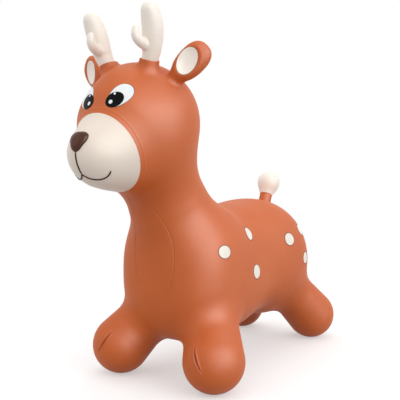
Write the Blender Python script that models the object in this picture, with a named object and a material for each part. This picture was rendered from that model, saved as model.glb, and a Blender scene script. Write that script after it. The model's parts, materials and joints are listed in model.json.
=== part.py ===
"""Inflatable bouncy ride-on animal: a skin of soft vinyl, blown up through a valve in the belly.

The skin is a row of balls and tapered limbs that swell into each other. It is meshed as one
surface and parted where the regions bend against each other. What stands on the skin is
seated by a ray from inside it, so it follows when a ball is resized.
+X is the animal's left, -Y is the way it faces, +Z is up, and the origin is on the floor.
"""

import math

import bmesh
import bpy
import numpy as np
from mathutils import Matrix, Vector
from mathutils.bvhtree import BVHTree

# Gaps, paint and mesh sizes
GAP = 0.0003
PAINT = 0.0004
OVERRUN = 0.010
SKIN_CELL = 0.0165
SAMPLE_STEP = 0.0001

# Trunk: places are (behind the origin, above the floor) or (behind, above) the ball before
CHEST_PLACE = (-0.0618, 0.170)
CHEST_HALF = (0.1005, 0.0837, 0.1110)
CHEST_FULLNESS = 2.59
BARREL_STEP = (0.157, 0.015)
BARREL_HALF = (0.0942, 0.1240, 0.0933)
BARREL_FULLNESS = 2.28
RUMP_STEP = (0.0872, -0.0222)
RUMP_HALF = (0.1013, 0.0903, 0.1053)
RUMP_FULLNESS = 2.04
TRUNK_FILLET = 0.0538
BELLY_STEP = (0.082, -0.035)
BELLY_HALF = (0.0860, 0.1050, 0.0760)
BELLY_FILLET = 0.040

# Neck: (behind the chest's middle, above it, radius), from its root upward
NECK_STATIONS = (
    (0.0056, 0.0430, 0.0768),
    (-0.0414, 0.1087, 0.0588),
    (-0.0779, 0.1670, 0.0586),
    (-0.1212, 0.2092, 0.0765),
)
NECK_STATION_FILLET = 0.020
NECK_FILLET = 0.0296
NECK_LOW_PARTING = 1
NECK_HIGH_PARTING = 2
NECK_PARTING_LEAN = math.radians(33.5)

# Head, from the neck's top station, and muzzle, from the head
HEAD_STEP = (0.0054, 0.0364)
HEAD_HALF = (0.0861, 0.0845, 0.0796)
HEAD_FILLET = 0.0438
FACE_WAY = (0.683, -0.452, 0.573)
FACE_SHARE = 0.97
FACE_EDGE = 0.024
MUZZLE_STEP = (-0.0662, -0.0560)
MUZZLE_HALF = (0.0496, 0.0668, 0.0504)
MUZZLE_FILLET = 0.0259
MUZZLE_BORDER_FORWARD = 0.005
MUZZLE_BORDER_TILT = math.radians(20.6)

# Legs: hips are (outward, behind, above) the ball that carries them, feet (outward, behind) the hip
FRONT_HIP_STEP = (0.0530, -0.0019, -0.0607)
FRONT_HIP_RADIUS = 0.0395
FRONT_FOOT_STEP = (0.0383, -0.0518)
FRONT_FOOT_RADIUS = 0.0479
REAR_HIP_STEP = (0.0499, 0.0198, -0.0454)
REAR_HIP_RADIUS = 0.0404
REAR_FOOT_STEP = (0.0303, 0.0670)
REAR_FOOT_RADIUS = 0.0471
LEG_FILLET = 0.0235
LEG_PARTING_ABOVE_FOOT = 0.050
LEG_CUTTER_HALF = 0.068
LEG_CUTTER_LENGTH = 0.130
SOLE_FLAT_DEPTH = 0.0005
SOLE_FINE_HEIGHT = 0.0065
SOLE_CUT_COUNT = 2

# Antlers: a flared collar carries a ball-rooted beam with one tine
COLLAR_PLACE_SHARES = (0.43, -0.30, 0.90)
COLLAR_LEAN_OUT = math.radians(15.0)
COLLAR_LEAN_FORWARD = math.radians(8.0)
COLLAR_FOOT_RADIUS = 0.0180
COLLAR_FLARE_RADIUS = 0.0155
COLLAR_FLARE_HEIGHT = 0.0028
COLLAR_RADIUS = 0.0145
COLLAR_FLOOR = 0.0035
COLLAR_UNDER_SHARES = (0.8, 0.55, 0.28)
CUP_RIM_ANGLE = math.radians(110.0)
CUP_RINGS = 4
BEAM_ROOT_RADIUS = 0.0127
BEAM_MIDDLE_STEP = (0.0100, -0.0070, 0.0375)
BEAM_MIDDLE_RADIUS = 0.0150
BEAM_TIP_STEP = (0.0035, -0.0140, 0.0240)
BEAM_TIP_RADIUS = 0.0112
TINE_ROOT_SHARE = 0.30
TINE_BEND_STEP = (-0.0020, -0.0175, 0.0090)
TINE_STEP = (-0.0060, -0.0300, 0.0230)
TINE_ROOT_RADIUS = 0.0080
TINE_TIP_RADIUS = 0.0058

# Ears: a ball root in a dimple, a narrow neck and a dished leaf
EAR_PLACE_SHARES = (0.76, 0.01, 0.65)
EAR_TURN_OUT = math.radians(46.0)
EAR_ROOT_RADIUS = 0.0095
EAR_ROOT_STANDOFF = 0.0030
EAR_NECK_RADIUS = 0.0085
EAR_LEAF_STEP = 0.0375
EAR_LEAF_HALF = (0.0210, 0.0115, 0.0285)
EAR_LEAF_FULLNESS = 1.9
EAR_FILLET = 0.006
EAR_NECK_SHARE = 0.15
EAR_DISH_HALF = (0.0150, 0.0215)
EAR_DISH_DEPTH = 0.0045
EAR_DISH_INWARD = 0.0030
EAR_LINING_HALF = (0.0125, 0.0185)

# Face
EYE_PLACE_SHARES = (0.345, -0.90, 0.253)
EYE_HALF = (0.0225, 0.0145)
EYE_TILT = math.radians(45.0)
PUPIL_STEP = (-0.0075, -0.0044)
PUPIL_HALF = (0.0122, 0.0107)
GLINT_STEP = (-0.0035, -0.0050)
GLINT_RADIUS = 0.0030
SMALL_GLINT_STEP = (-0.0020, 0.0055)
SMALL_GLINT_RADIUS = 0.0014
NOSE_RISE = math.radians(13.0)
NOSE_RADIUS = 0.0148
NOSE_CORNER_SHARE = 0.10
NOSE_HEIGHT = 0.0058
NOSE_EDGE = 0.0012
NOSE_DOME_SHARES = (0, 0.35, 0.65, 0.88, 1)
MOUTH_LINE_RADIUS = 0.0008
SMILE_RADIUS = 0.0200
SMILE_CENTRE = (0.0150, -0.0169)
SMILE_ANGLES = (math.radians(-138.5), math.radians(-24.3))
LIP_TOP_DROP = 0.0030

# Tail
TAIL_PLACE_SHARES = (0.0, 0.36, 0.93)
TAIL_LEAN = math.radians(25.0)
TAIL_ROOT_RADIUS = 0.0135
TAIL_ROOT_STANDOFF = 0.0020
TAIL_STUB_RADIUS = 0.0122
TAIL_BALL_RADIUS = 0.0215
TAIL_BALL_STEP = 0.0520

# Air valve under the barrel
VALVE_FLANGE_RADIUS = 0.0130
VALVE_FLANGE_THICKNESS = 0.0022
VALVE_NECK_RADIUS = 0.0085
VALVE_NECK_LENGTH = 0.0120
VALVE_BORE_RADIUS = 0.0050
VALVE_BORE_DEPTH = 0.0105
PLUG_CAP_RADIUS = 0.0090
PLUG_CAP_THICKNESS = 0.0024
PLUG_EASE = 0.0008
PLUG_END_GAP = 0.0010

# Painted spots of each flank: (along the trunk, up from the spine's middle, size) as shares
SPOT_RADIUS = 0.0120
SPOT_SHARES = (
    (-0.119, 0.378, 0.92),
    (0.287, 0.520, 1.05),
    (0.300, -0.030, 1.08),
    (0.787, 0.330, 1.05),
    (1.012, 0.018, 1.00),
    (1.033, 0.490, 1.00),
)

ROUND_STEPS = 18
PATCH_STEPS = 16
TUBE_STEPS = 6
BALL_STEPS = (14, 8)
SOCKET_STEPS = (22, 13)
HORN_RINGS = 8
EAR_RINGS = 16
HORN_BALL_ROWS = 4
SHARP_ANGLE = math.radians(38.0)


def colour(red, green, blue):
    """A display colour as the linear values that a shader takes."""
    shares = np.array((red, green, blue)) / 255
    linear = np.where(shares > 0.04045, ((shares + 0.055) / 1.055) ** 2.4, shares / 12.92)
    return (*linear, 1.0)


def finish(name, tint, roughness):
    """A moulded or painted surface."""
    material = bpy.data.materials.new(name)
    material.use_nodes = True
    shader = material.node_tree.nodes["Principled BSDF"]
    shader.inputs["Base Color"].default_value = tint
    shader.inputs["Roughness"].default_value = roughness
    shader.inputs["Metallic"].default_value = 0
    material.diffuse_color = tint
    return material


def unit(vector):
    """The vector at length one."""
    vector = np.array(vector, float)
    return vector / np.linalg.norm(vector)


def blob(points, centre, half, fullness=2.0):
    """Distance to an ellipsoid, or to a squarer one where fullness is over 2."""
    scaled = np.abs((points - centre) / half) + 1e-9
    reach = (scaled**fullness).sum(-1) ** (1 / fullness)
    slope = reach[:, None] ** (1 - fullness) * scaled ** (fullness - 1) / half
    return (reach - 1) / np.maximum(np.linalg.norm(slope, axis=-1), 1e-9)


def limb(points, start, start_radius, end, end_radius):
    """Distance to two balls and the cone that wraps both."""
    along = np.array(end, float) - start
    length_2 = along @ along
    taper = start_radius - end_radius
    cone_2 = length_2 - taper**2
    offset = points - start
    rise = offset @ along
    past = rise - length_2
    across_2 = ((offset * length_2 - rise[:, None] * along) ** 2).sum(-1)
    rise_2 = rise**2 * length_2
    past_2 = past**2 * length_2
    side = np.sign(taper) * taper**2 * across_2
    distance = (np.sqrt(across_2 * cone_2 / length_2) + rise * taper) / length_2 - start_radius
    at_start = np.sign(rise) * cone_2 * rise_2 < side
    at_end = np.sign(past) * cone_2 * past_2 > side
    distance = np.where(at_start, np.sqrt(across_2 + rise_2) / length_2 - start_radius, distance)
    return np.where(at_end, np.sqrt(across_2 + past_2) / length_2 - end_radius, distance)


def swell(first, second, fillet):
    """The nearer of two distances, with a rounded valley of this width between them."""
    overlap = np.maximum(fillet - np.abs(first - second), 0) / fillet
    return np.minimum(first, second) - overlap**2 * fillet / 4


def trim(first, second, edge):
    """Where both distances hold, with an edge rounded over this width."""
    return -swell(-first, -second, edge)


CHEST = np.array((0, *CHEST_PLACE))
BARREL = CHEST + (0, *BARREL_STEP)
RUMP = BARREL + (0, *RUMP_STEP)
BELLY = CHEST + (0, *BELLY_STEP)
NECK = [(CHEST + (0, behind, above), radius) for behind, above, radius in NECK_STATIONS]
HEAD = NECK[-1][0] + (0, *HEAD_STEP)
MUZZLE = HEAD + (0, *MUZZLE_STEP)
FACE = np.array(FACE_WAY)
FACE_REACH = FACE_SHARE * np.linalg.norm(FACE * HEAD_HALF)


def leg_line(carrier, hip_step, foot_step, foot_radius):
    """The middles of a left hip and its foot, which presses the sole's flat into the floor."""
    hip = carrier + hip_step
    foot = np.array((hip[0] + foot_step[0], hip[1] + foot_step[1], foot_radius - SOLE_FLAT_DEPTH))
    return hip, foot


LEGS = {
    "front_leg": (
        *leg_line(CHEST, FRONT_HIP_STEP, FRONT_FOOT_STEP, FRONT_FOOT_RADIUS),
        FRONT_HIP_RADIUS,
        FRONT_FOOT_RADIUS,
    ),
    "rear_leg": (
        *leg_line(RUMP, REAR_HIP_STEP, REAR_FOOT_STEP, REAR_FOOT_RADIUS),
        REAR_HIP_RADIUS,
        REAR_FOOT_RADIUS,
    ),
}
SIDES = {"left": 1, "right": -1}


def skin(points):
    """Distance to the blown-up skin, the same on both sides of the middle plane."""
    points = np.abs(points * (1, 0, 0)) + points * (0, 1, 1)
    trunk = swell(
        blob(points, BARREL, BARREL_HALF, BARREL_FULLNESS),
        blob(points, CHEST, CHEST_HALF, CHEST_FULLNESS),
        TRUNK_FILLET,
    )
    trunk = swell(trunk, blob(points, RUMP, RUMP_HALF, RUMP_FULLNESS), TRUNK_FILLET)
    trunk = swell(trunk, blob(points, BELLY, BELLY_HALF), BELLY_FILLET)
    neck = None
    for (start, start_radius), (end, end_radius) in zip(NECK, NECK[1:]):
        piece = limb(points, start, start_radius, end, end_radius)
        neck = piece if neck is None else swell(neck, piece, NECK_STATION_FILLET)
    head = trim(blob(points, HEAD, HEAD_HALF), (points - HEAD) @ FACE - FACE_REACH, FACE_EDGE)
    neck = swell(neck, head, HEAD_FILLET)
    body = swell(trunk, neck, NECK_FILLET)
    for hip, foot, hip_radius, foot_radius in LEGS.values():
        body = swell(body, limb(points, hip, hip_radius, foot, foot_radius), LEG_FILLET)
    return swell(body, blob(points, MUZZLE, MUZZLE_HALF), MUZZLE_FILLET)


def slopes(field, points):
    """The field's slope at each point, pointing out of the surface."""
    steps = SAMPLE_STEP * np.eye(3)
    rises = [field(points + step) - field(points - step) for step in steps]
    return np.stack(rises, axis=-1) / (2 * SAMPLE_STEP)


def settle(field, points):
    """Moves points along the field's slope onto its zero surface."""
    for _ in range(3):
        slope = slopes(field, points)
        slope_2 = np.maximum((slope**2).sum(-1), 1e-6)
        points = points - (field(points) / slope_2)[:, None] * slope
    return points


def contour(field, low, high, cell):
    """Quads on the field's zero surface: a point in each cell that it crosses.

    A cell's point starts at the middle of its crossed edges, and each crossed grid edge
    joins the points of the four cells around it. The grid is even about x = 0 where the
    box is, so an even field gives an even mesh.
    """
    low, high = np.array(low), np.array(high)
    counts = 2 * np.ceil((high - low) / cell / 2).astype(int) + 1
    start = (low + high - (counts - 1) * cell) / 2
    axes = [start[i] + cell * np.arange(counts[i]) for i in range(3)]
    grid = np.stack(np.meshgrid(*axes, indexing="ij"), axis=-1)
    values = field(grid.reshape(-1, 3)).reshape(counts)
    inside = values < 0
    corners = [np.array((i, j, k)) for i in (0, 1) for j in (0, 1) for k in (0, 1)]
    cells = counts - 1
    within = sum(
        inside[i : i + cells[0], j : j + cells[1], k : k + cells[2]].astype(int)
        for i, j, k in corners
    )
    crossed = (within > 0) & (within < 8)
    number = np.full(cells, -1)
    places = np.argwhere(crossed)
    number[crossed] = np.arange(len(places))
    total = np.zeros((len(places), 3))
    edges = np.zeros(len(places))
    quads = []
    for axis in range(3):
        along = np.eye(3, dtype=int)[axis]
        across = np.eye(3, dtype=int)[(axis + 1) % 3]
        over = np.eye(3, dtype=int)[(axis + 2) % 3]
        for corner in (c for c in corners if not c[axis]):
            near = values[tuple((places + corner).T)]
            far = values[tuple((places + corner + along).T)]
            hit = (near < 0) != (far < 0)
            share = np.where(hit, near / np.where(hit, near - far, 1), 0)
            total += np.where(hit[:, None], places + corner + share[:, None] * along, 0)
            edges += hit
        first = tuple(slice(0, -1) if i == axis else slice(None) for i in range(3))
        second = tuple(slice(1, None) if i == axis else slice(None) for i in range(3))
        for outward, found in (
            (1, inside[first] & ~inside[second]),
            (-1, ~inside[first] & inside[second]),
        ):
            ends = np.argwhere(found)
            ring = (across + over, over, 0 * over, across)
            quad = np.stack([number[tuple((ends - back).T)] for back in ring], axis=1)
            quads.append(quad[:, ::outward])
    points = start + cell * total / edges[:, None]
    return settle(field, points), np.concatenate(quads)


def mesh_of(points, faces):
    """A bmesh of these faces, turned outward."""
    shape = bmesh.new()
    corners = [shape.verts.new(point) for point in points]
    for face in faces:
        shape.faces.new([corners[i] for i in face])
    bmesh.ops.recalc_face_normals(shape, faces=shape.faces)
    return shape


def whole_skin():
    """The skin's mesh, with finer faces where the soles are cut flat."""
    reach = max(*CHEST_HALF, *HEAD_HALF, FRONT_FOOT_RADIUS) + OVERRUN
    balls = [CHEST, RUMP, HEAD, MUZZLE, *(foot for _, foot, _, _ in LEGS.values())]
    low = np.min(balls, axis=0) - reach
    high = np.max(balls, axis=0) + reach
    low[0] = -high[0]
    points, quads = contour(skin, low, high, SKIN_CELL)
    shape = mesh_of(points, quads)
    fine = {
        edge
        for face in shape.faces
        if face.calc_center_median().z < SOLE_FINE_HEIGHT
        for edge in face.edges
    }
    bmesh.ops.subdivide_edges(shape, edges=list(fine), cuts=SOLE_CUT_COUNT, use_grid_fill=True)
    bmesh.ops.triangulate(shape, faces=[face for face in shape.faces if len(face.verts) > 4])
    settled = settle(skin, np.array([vert.co for vert in shape.verts]))
    for vert, place in zip(shape.verts, settled):
        vert.co = place
    return shape


def wrap(rings, first_pole, last_pole):
    """A closed skin of equal rings between two poles: its points and its faces."""
    steps = len(rings[0])
    points = np.concatenate([[first_pole], *rings, [last_pole]])
    last = len(points) - 1
    faces = []
    for i in range(steps):
        j = (i + 1) % steps
        faces.append((0, 1 + i, 1 + j))
        faces.append((last, last - steps + j, last - steps + i))
        for row in range(len(rings) - 1):
            here = 1 + row * steps
            faces.append((here + i, here + steps + i, here + steps + j, here + j))
    return points, faces


def circle(steps):
    """Unit directions around a circle, as (across, up) pairs."""
    angles = 2 * np.pi * np.arange(steps) / steps
    return np.stack([np.cos(angles), np.sin(angles)], axis=1)


def turned(profile, place, axis, steps=ROUND_STEPS):
    """A turned solid: (radius, height) points from one pole to the other along the axis."""
    axis = unit(axis)
    across, up = tangents(axis)
    ring = circle(steps) @ np.array((across, up))
    rings = [place + radius * ring + height * axis for radius, height in profile[1:-1]]
    return wrap(rings, place + profile[0][1] * axis, place + profile[-1][1] * axis)


def ball_profile(radius, rows):
    """A half circle from the lower pole to the upper one."""
    return [
        (radius * math.sin(math.pi * i / rows), -radius * math.cos(math.pi * i / rows))
        for i in range(rows + 1)
    ]


def tangents(normal):
    """Two unit vectors across a normal: one level, pointing left, and one up the slope."""
    level = unit(np.cross((0, 0, 1), normal) if abs(normal[2]) < 1 - 1e-6 else (1, 0, 0))
    return level, np.cross(normal, level)


class Surface:
    """A mesh that other pieces are seated on, and the field that it was made from, if any."""

    def __init__(self, shape, field=None):
        self.tree = BVHTree.FromBMesh(shape)
        self.field = field

    def hit(self, origin, direction):
        """Where a ray first meets the mesh."""
        place, _, _, _ = self.tree.ray_cast(Vector(origin), Vector(direction))
        if place is None:
            raise ValueError(f"no surface along {direction} from {origin}")
        return np.array(place)

    def drop(self, points, normal):
        """Points lowered along the normal onto the mesh or the true surface, the higher of the two.

        The mesh's flat faces lie inside the true surface where it bulges, and outside where
        it is hollow.
        """
        normal = np.array(normal, float)
        hits = np.array([self.hit(point + OVERRUN * normal, -normal) for point in points])
        if not self.field:
            return hits
        height = np.zeros(len(hits))
        for _ in range(3):
            here = hits + height[:, None] * normal
            ahead, behind = here + SAMPLE_STEP * normal, here - SAMPLE_STEP * normal
            slope = (self.field(ahead) - self.field(behind)) / (2 * SAMPLE_STEP)
            height = height - self.field(here) / slope
        return hits + np.maximum(height, 0)[:, None] * normal

    def from_inside(self, middle, half, shares):
        """The mesh's point beyond a share of a ball's half sizes, and the ball's normal there."""
        offset = np.array(shares) * half
        return self.hit(middle, unit(offset)), unit(offset / np.square(half))


def mound(surface, place, normal, outline, profile, level=0):
    """A piece that lies on a surface.

    outline holds (across, up) points around its rim, profile (share of the rim, height)
    pairs from its middle out, and level counts the paint layers under it.
    """
    across, up = tangents(normal)
    spread = outline @ np.array((across, up))
    base = GAP + level * (PAINT + GAP)
    shares = [share for share, _ in profile[1:]]
    seats = [surface.drop(place + share * spread, normal) for share in shares]
    middle = surface.drop([place], normal)[0]
    tops = [seat + (base + height) * normal for seat, (_, height) in zip(seats, profile[1:])]
    feet = [seat + base * normal for seat in reversed(seats)]
    return wrap(tops + feet, middle + (base + profile[0][1]) * normal, middle + base * normal)


def paint_profile(rows=2):
    """An even coat of paint, in this many rings."""
    return [(i / rows, PAINT) for i in range(rows + 1)]


def oval(half, tilt=0.0, step=(0, 0), side=1, steps=PATCH_STEPS):
    """Points around a tilted oval, mirrored on the right side."""
    points = circle(steps) * half
    turn = np.array(((math.cos(tilt), math.sin(tilt)), (-math.sin(tilt), math.cos(tilt))))
    return (points @ turn + step) * (side, 1)


def tube(path, normals, radius):
    """A round line through the path's points, with pointed ends."""
    path = np.array(path)
    runs = np.diff(path, axis=0)
    runs = runs / np.linalg.norm(runs, axis=1)[:, None]
    ways = np.concatenate([runs[:1], runs[:-1] + runs[1:], runs[-1:]])
    rings = []
    for point, way, normal in list(zip(path, ways, normals))[1:-1]:
        across = unit(np.cross(way, normal))
        rings.append(point + radius * circle(TUBE_STEPS) @ np.array((across, unit(normal))))
    return wrap(rings, path[0], path[-1])


def pivot(name, place, parent=None):
    """An empty on a joint's axis, which carries the pieces that move there."""
    empty = bpy.data.objects.new(name, None)
    empty.empty_display_size = GAP
    empty.location = Vector(place) - (pivot_place(parent) if parent else Vector())
    empty.parent = parent
    bpy.context.scene.collection.objects.link(empty)
    return empty


def pivot_place(empty):
    """Where an empty stands in the world, through its parents."""
    place = Vector(empty.location)
    return place + pivot_place(empty.parent) if empty.parent else place


def piece(name, shape, material, carrier):
    """An object of this bmesh, with its origin at its carrier."""
    here = pivot_place(carrier)
    bmesh.ops.transform(shape, matrix=Matrix.Translation(-here), verts=shape.verts)
    mesh = bpy.data.meshes.new(name)
    shape.to_mesh(mesh)
    mesh.materials.append(material)
    mesh.shade_smooth()
    mesh.set_sharp_from_angle(angle=SHARP_ANGLE)
    obj = bpy.data.objects.new(name, mesh)
    obj.parent = carrier
    bpy.context.scene.collection.objects.link(obj)
    return obj


def cutter(name, shape):
    """A guide that cuts other pieces and isn't part of the model."""
    mesh = bpy.data.meshes.new(name)
    shape.to_mesh(mesh)
    obj = bpy.data.objects.new(name, mesh)
    obj.display_type = "WIRE"
    obj.hide_render = True
    bpy.context.scene.collection.objects.link(obj)
    return obj


def cut(obj, other, operation):
    """Adds a Boolean of this kind."""
    modifier = obj.modifiers.new(other.name, "BOOLEAN")
    modifier.operation = operation
    modifier.object = other


def block(name, place, normal, length, half):
    """A box cutter that starts on the plane through place and runs along the normal."""
    normal = unit(normal)
    corners = half * np.array(((-1, -1), (1, -1), (1, 1), (-1, 1))) @ np.array(tangents(normal))
    points = np.concatenate([place + corners, place + corners + length * normal])
    faces = [(0, 1, 2, 3), (4, 5, 6, 7)]
    faces += [(i, (i + 1) % 4, (i + 1) % 4 + 4, i + 4) for i in range(4)]
    return cutter(name, mesh_of(points, faces))


def ball_cutter(name, place, radius):
    """A ball cutter, for the socket of a ball-shaped root."""
    points, faces = turned(ball_profile(radius, SOCKET_STEPS[1]), place, (0, 0, 1), SOCKET_STEPS[0])
    return cutter(name, mesh_of(points, faces))


def regions(shape, carriers, orange, cream):
    """The skin parted into torso, neck, head, muzzle and four legs, each with its own cuts."""
    span = 2 * (max(CHEST_HALF) + max(HEAD_HALF) + NECK[-1][0][2])
    half_gap = GAP / 2
    lean = np.array((0, -math.sin(NECK_PARTING_LEAN), math.cos(NECK_PARTING_LEAN)))
    tilt = np.array((0, -math.cos(MUZZLE_BORDER_TILT), -math.sin(MUZZLE_BORDER_TILT)))
    low, high = NECK[NECK_LOW_PARTING][0], NECK[NECK_HIGH_PARTING][0]
    border = MUZZLE + (0, -MUZZLE_BORDER_FORWARD, 0)

    def region(name, material, *cuts):
        obj = piece(name, shape.copy(), material, carriers[name])
        for other, operation in cuts:
            cut(obj, other, operation)
        return obj

    above_low = block("above_low_parting", low - half_gap * lean, lean, span, span)
    over_low = block("over_low_parting", low + half_gap * lean, lean, span, span)
    above_high = block("above_high_parting", high - half_gap * lean, lean, span, span)
    over_high = block("over_high_parting", high + half_gap * lean, lean, span, span)
    before_border = block("before_border", border - half_gap * tilt, tilt, span, span)
    past_border = block("past_border", border + half_gap * tilt, tilt, span, span)
    floor = block("below_floor", np.zeros(3), (0, 0, -1), OVERRUN, span)
    leg_blocks = []
    for kind, (hip, foot, _, _) in LEGS.items():
        for side, sign in SIDES.items():
            hip_there, foot_there = hip * (sign, 1, 1), foot * (sign, 1, 1)
            down = unit(foot_there - hip_there)
            place = foot_there - LEG_PARTING_ABOVE_FOOT * down
            name = f"{kind}_{side}"
            keep = block(
                f"{name}_keep", place + half_gap * down, down, LEG_CUTTER_LENGTH, LEG_CUTTER_HALF
            )
            leg_blocks.append(
                block(
                    f"{name}_clear",
                    place - half_gap * down,
                    down,
                    LEG_CUTTER_LENGTH + OVERRUN,
                    LEG_CUTTER_HALF + OVERRUN,
                )
            )
            region(name, orange, (keep, "INTERSECT"), (floor, "DIFFERENCE"))
    torso = region(
        "torso", orange, *((other, "DIFFERENCE") for other in (above_low, *leg_blocks))
    )
    region("neck", orange, (over_low, "INTERSECT"), (above_high, "DIFFERENCE"))
    head = region("head", orange, (over_high, "INTERSECT"), (before_border, "DIFFERENCE"))
    region("muzzle", cream, (over_high, "INTERSECT"), (past_border, "INTERSECT"))
    return torso, head


def collar_axis(side):
    """The way a collar and its antler point: up, leaning outward and forward."""
    return unit((side * math.tan(COLLAR_LEAN_OUT), -math.tan(COLLAR_LEAN_FORWARD), 1))


def collar(surface, side):
    """A flared ring on the head with a round cup on top: its mesh, and the cup's middle."""
    place, _ = surface.from_inside(HEAD, HEAD_HALF, np.array(COLLAR_PLACE_SHARES) * (side, 1, 1))
    axis = collar_axis(side)
    ring = circle(ROUND_STEPS) @ np.array(tangents(axis))
    cup = BEAM_ROOT_RADIUS + GAP
    middle = place + (COLLAR_FLOOR + cup) * axis
    angles = np.linspace(math.pi, CUP_RIM_ANGLE, CUP_RINGS + 1)[1:]
    cup_rings = [
        middle + cup * (math.sin(angle) * ring + math.cos(angle) * axis) for angle in angles
    ]
    foot = surface.drop(place + COLLAR_FOOT_RADIUS * ring, axis)
    flare = surface.drop(place + COLLAR_FLARE_RADIUS * ring, axis)
    under = [
        surface.drop(place + share * COLLAR_FOOT_RADIUS * ring, axis) + GAP * axis
        for share in COLLAR_UNDER_SHARES
    ]
    rim = middle + COLLAR_RADIUS * ring + cup * math.cos(CUP_RIM_ANGLE) * axis
    rings = [
        *cup_rings,
        rim,
        flare + COLLAR_FLARE_HEIGHT * axis,
        foot + (GAP + PAINT) * axis,
        foot + GAP * axis,
        *under,
    ]
    return mesh_of(*wrap(rings, middle - cup * axis, place + GAP * axis)), middle


def through(stations, shares):
    """Values on the parabola through three stations, at these shares of the way along."""
    low, middle, high = np.array(stations)
    share = np.array(shares)[:, None]
    knee = np.linalg.norm(middle[:3] - low[:3])
    knee = knee / (knee + np.linalg.norm(high[:3] - middle[:3]))
    return (
        low * (share - knee) * (share - 1) / knee
        + middle * share * (share - 1) / (knee * (knee - 1))
        + high * share * (share - knee) / (1 - knee)
    )


def horn(stations):
    """A round horn through three (x, y, z, radius) stations, with half a ball at each end."""
    spine = through(stations, np.linspace(0, 1, HORN_RINGS))
    places, radii = spine[:, :3], spine[:, 3]
    ways = np.gradient(places, axis=0)
    ways = ways / np.linalg.norm(ways, axis=1)[:, None]
    angles = np.pi / 2 * np.arange(1, HORN_BALL_ROWS) / HORN_BALL_ROWS
    stops = [(0, -math.sin(angle), math.cos(angle)) for angle in reversed(angles)]
    stops += [(i, 0, 1) for i in range(HORN_RINGS)]
    stops += [(HORN_RINGS - 1, math.sin(angle), math.cos(angle)) for angle in angles]
    rings = []
    for i, out, across in stops:
        level = unit(np.cross((0, 1, 0), ways[i]))
        frame = radii[i] * np.array((level, np.cross(ways[i], level)))
        middle = places[i] + out * radii[i] * ways[i]
        rings.append(middle + across * circle(BALL_STEPS[0]) @ frame)
    low, high = places[0] - radii[0] * ways[0], places[-1] + radii[-1] * ways[-1]
    return wrap(rings, low, high)


def antler(middle, side):
    """The beam, which turns on its root ball, and the tine to be joined to it."""
    knee = np.array(BEAM_MIDDLE_STEP)
    beam = horn(
        (
            (0, 0, 0, BEAM_ROOT_RADIUS),
            (*knee, BEAM_MIDDLE_RADIUS),
            (*(knee + BEAM_TIP_STEP), BEAM_TIP_RADIUS),
        )
    )
    root = TINE_ROOT_SHARE * knee
    tine = horn(
        (
            (*root, TINE_ROOT_RADIUS),
            (*(root + TINE_BEND_STEP), (TINE_ROOT_RADIUS + TINE_TIP_RADIUS) / 2),
            (*(root + TINE_STEP), TINE_TIP_RADIUS),
        )
    )
    mirror = np.array((side, 1, 1))
    return [mesh_of(points * mirror + middle, faces) for points, faces in (beam, tine)]


def ear_frame(side):
    """The ear's directions in space, as rows: across its leaf, out of its front, along it."""
    along = np.array((side * math.sin(EAR_TURN_OUT), 0, math.cos(EAR_TURN_OUT)))
    front = np.array((0, -1, 0))
    return np.array((side * np.cross(front, along), front, along))


def ear_rings():
    """Rings of an ear from its root ball to its tip, as (across, out of the front, along) points.

    Each ring is an oval. Its half width and thickness are the neck's below and the leaf's
    above, whichever is larger, and the dish is pressed into its front half.
    """
    angles = np.pi * np.arange(1, BALL_STEPS[1] // 2) / BALL_STEPS[1]
    heights = [-EAR_ROOT_RADIUS * math.cos(angle) for angle in angles]
    halves = [(EAR_ROOT_RADIUS * math.sin(angle),) * 2 for angle in angles]
    for step in range(EAR_RINGS):
        share = step / EAR_RINGS
        height = share * (EAR_LEAF_STEP + EAR_LEAF_HALF[2])
        neck = EAR_ROOT_RADIUS + min(share / EAR_NECK_SHARE, 1) * (
            EAR_NECK_RADIUS - EAR_ROOT_RADIUS
        )
        reach = abs(height - EAR_LEAF_STEP) / EAR_LEAF_HALF[2]
        leaf = max(1 - reach**EAR_LEAF_FULLNESS, 0) ** (1 / EAR_LEAF_FULLNESS)
        if height > EAR_LEAF_STEP:
            neck = 0
        halves.append([-swell(-neck, -leaf * half, EAR_FILLET) for half in EAR_LEAF_HALF[:2]])
        heights.append(height)
    rings = []
    for height, (wide, thick) in zip(heights, halves):
        across, out = (circle(BALL_STEPS[0] + 2) * (wide, thick)).T
        in_dish = ((across - EAR_DISH_INWARD) / EAR_DISH_HALF[0]) ** 2
        in_dish = in_dish + ((height - EAR_LEAF_STEP) / EAR_DISH_HALF[1]) ** 2
        depth = EAR_DISH_DEPTH * np.maximum(1 - in_dish, 0) * (out > 0)
        rings.append(np.stack([across, out - depth, np.full(len(across), height)], axis=1))
    return rings


def ear(surface, side):
    """An ear and the painted lining in its dish, with the middle of its root ball."""
    place, normal = surface.from_inside(
        HEAD, HEAD_HALF, np.array(EAR_PLACE_SHARES) * (side, 1, 1)
    )
    middle = place + EAR_ROOT_STANDOFF * normal
    frame = ear_frame(side)
    reach = EAR_LEAF_STEP + EAR_LEAF_HALF[2]
    points, faces = wrap(ear_rings(), (0, 0, -EAR_ROOT_RADIUS), (0, 0, reach))
    shape = mesh_of(points @ frame + middle, faces)
    lining_at = middle + (EAR_DISH_INWARD, EAR_LEAF_HALF[1], EAR_LEAF_STEP) @ frame
    outline = circle(PATCH_STEPS) * EAR_LINING_HALF
    lining = lining_on(Surface(shape), lining_at, frame, outline)
    return shape, lining, middle


def lining_on(front, place, frame, outline):
    """The painted lining, laid on the front of the ear along the ear's own directions."""
    across, normal, along = frame
    spread = outline @ np.array((across, along))
    seats = [front.drop(place + share * spread, normal) for share, _ in paint_profile(3)[1:]]
    middle = front.drop([place], normal)[0]
    tops = [seat + (GAP + PAINT) * normal for seat in seats]
    feet = [seat + GAP * normal for seat in reversed(seats)]
    return mesh_of(*wrap(tops + feet, middle + (GAP + PAINT) * normal, middle + GAP * normal))


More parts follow.
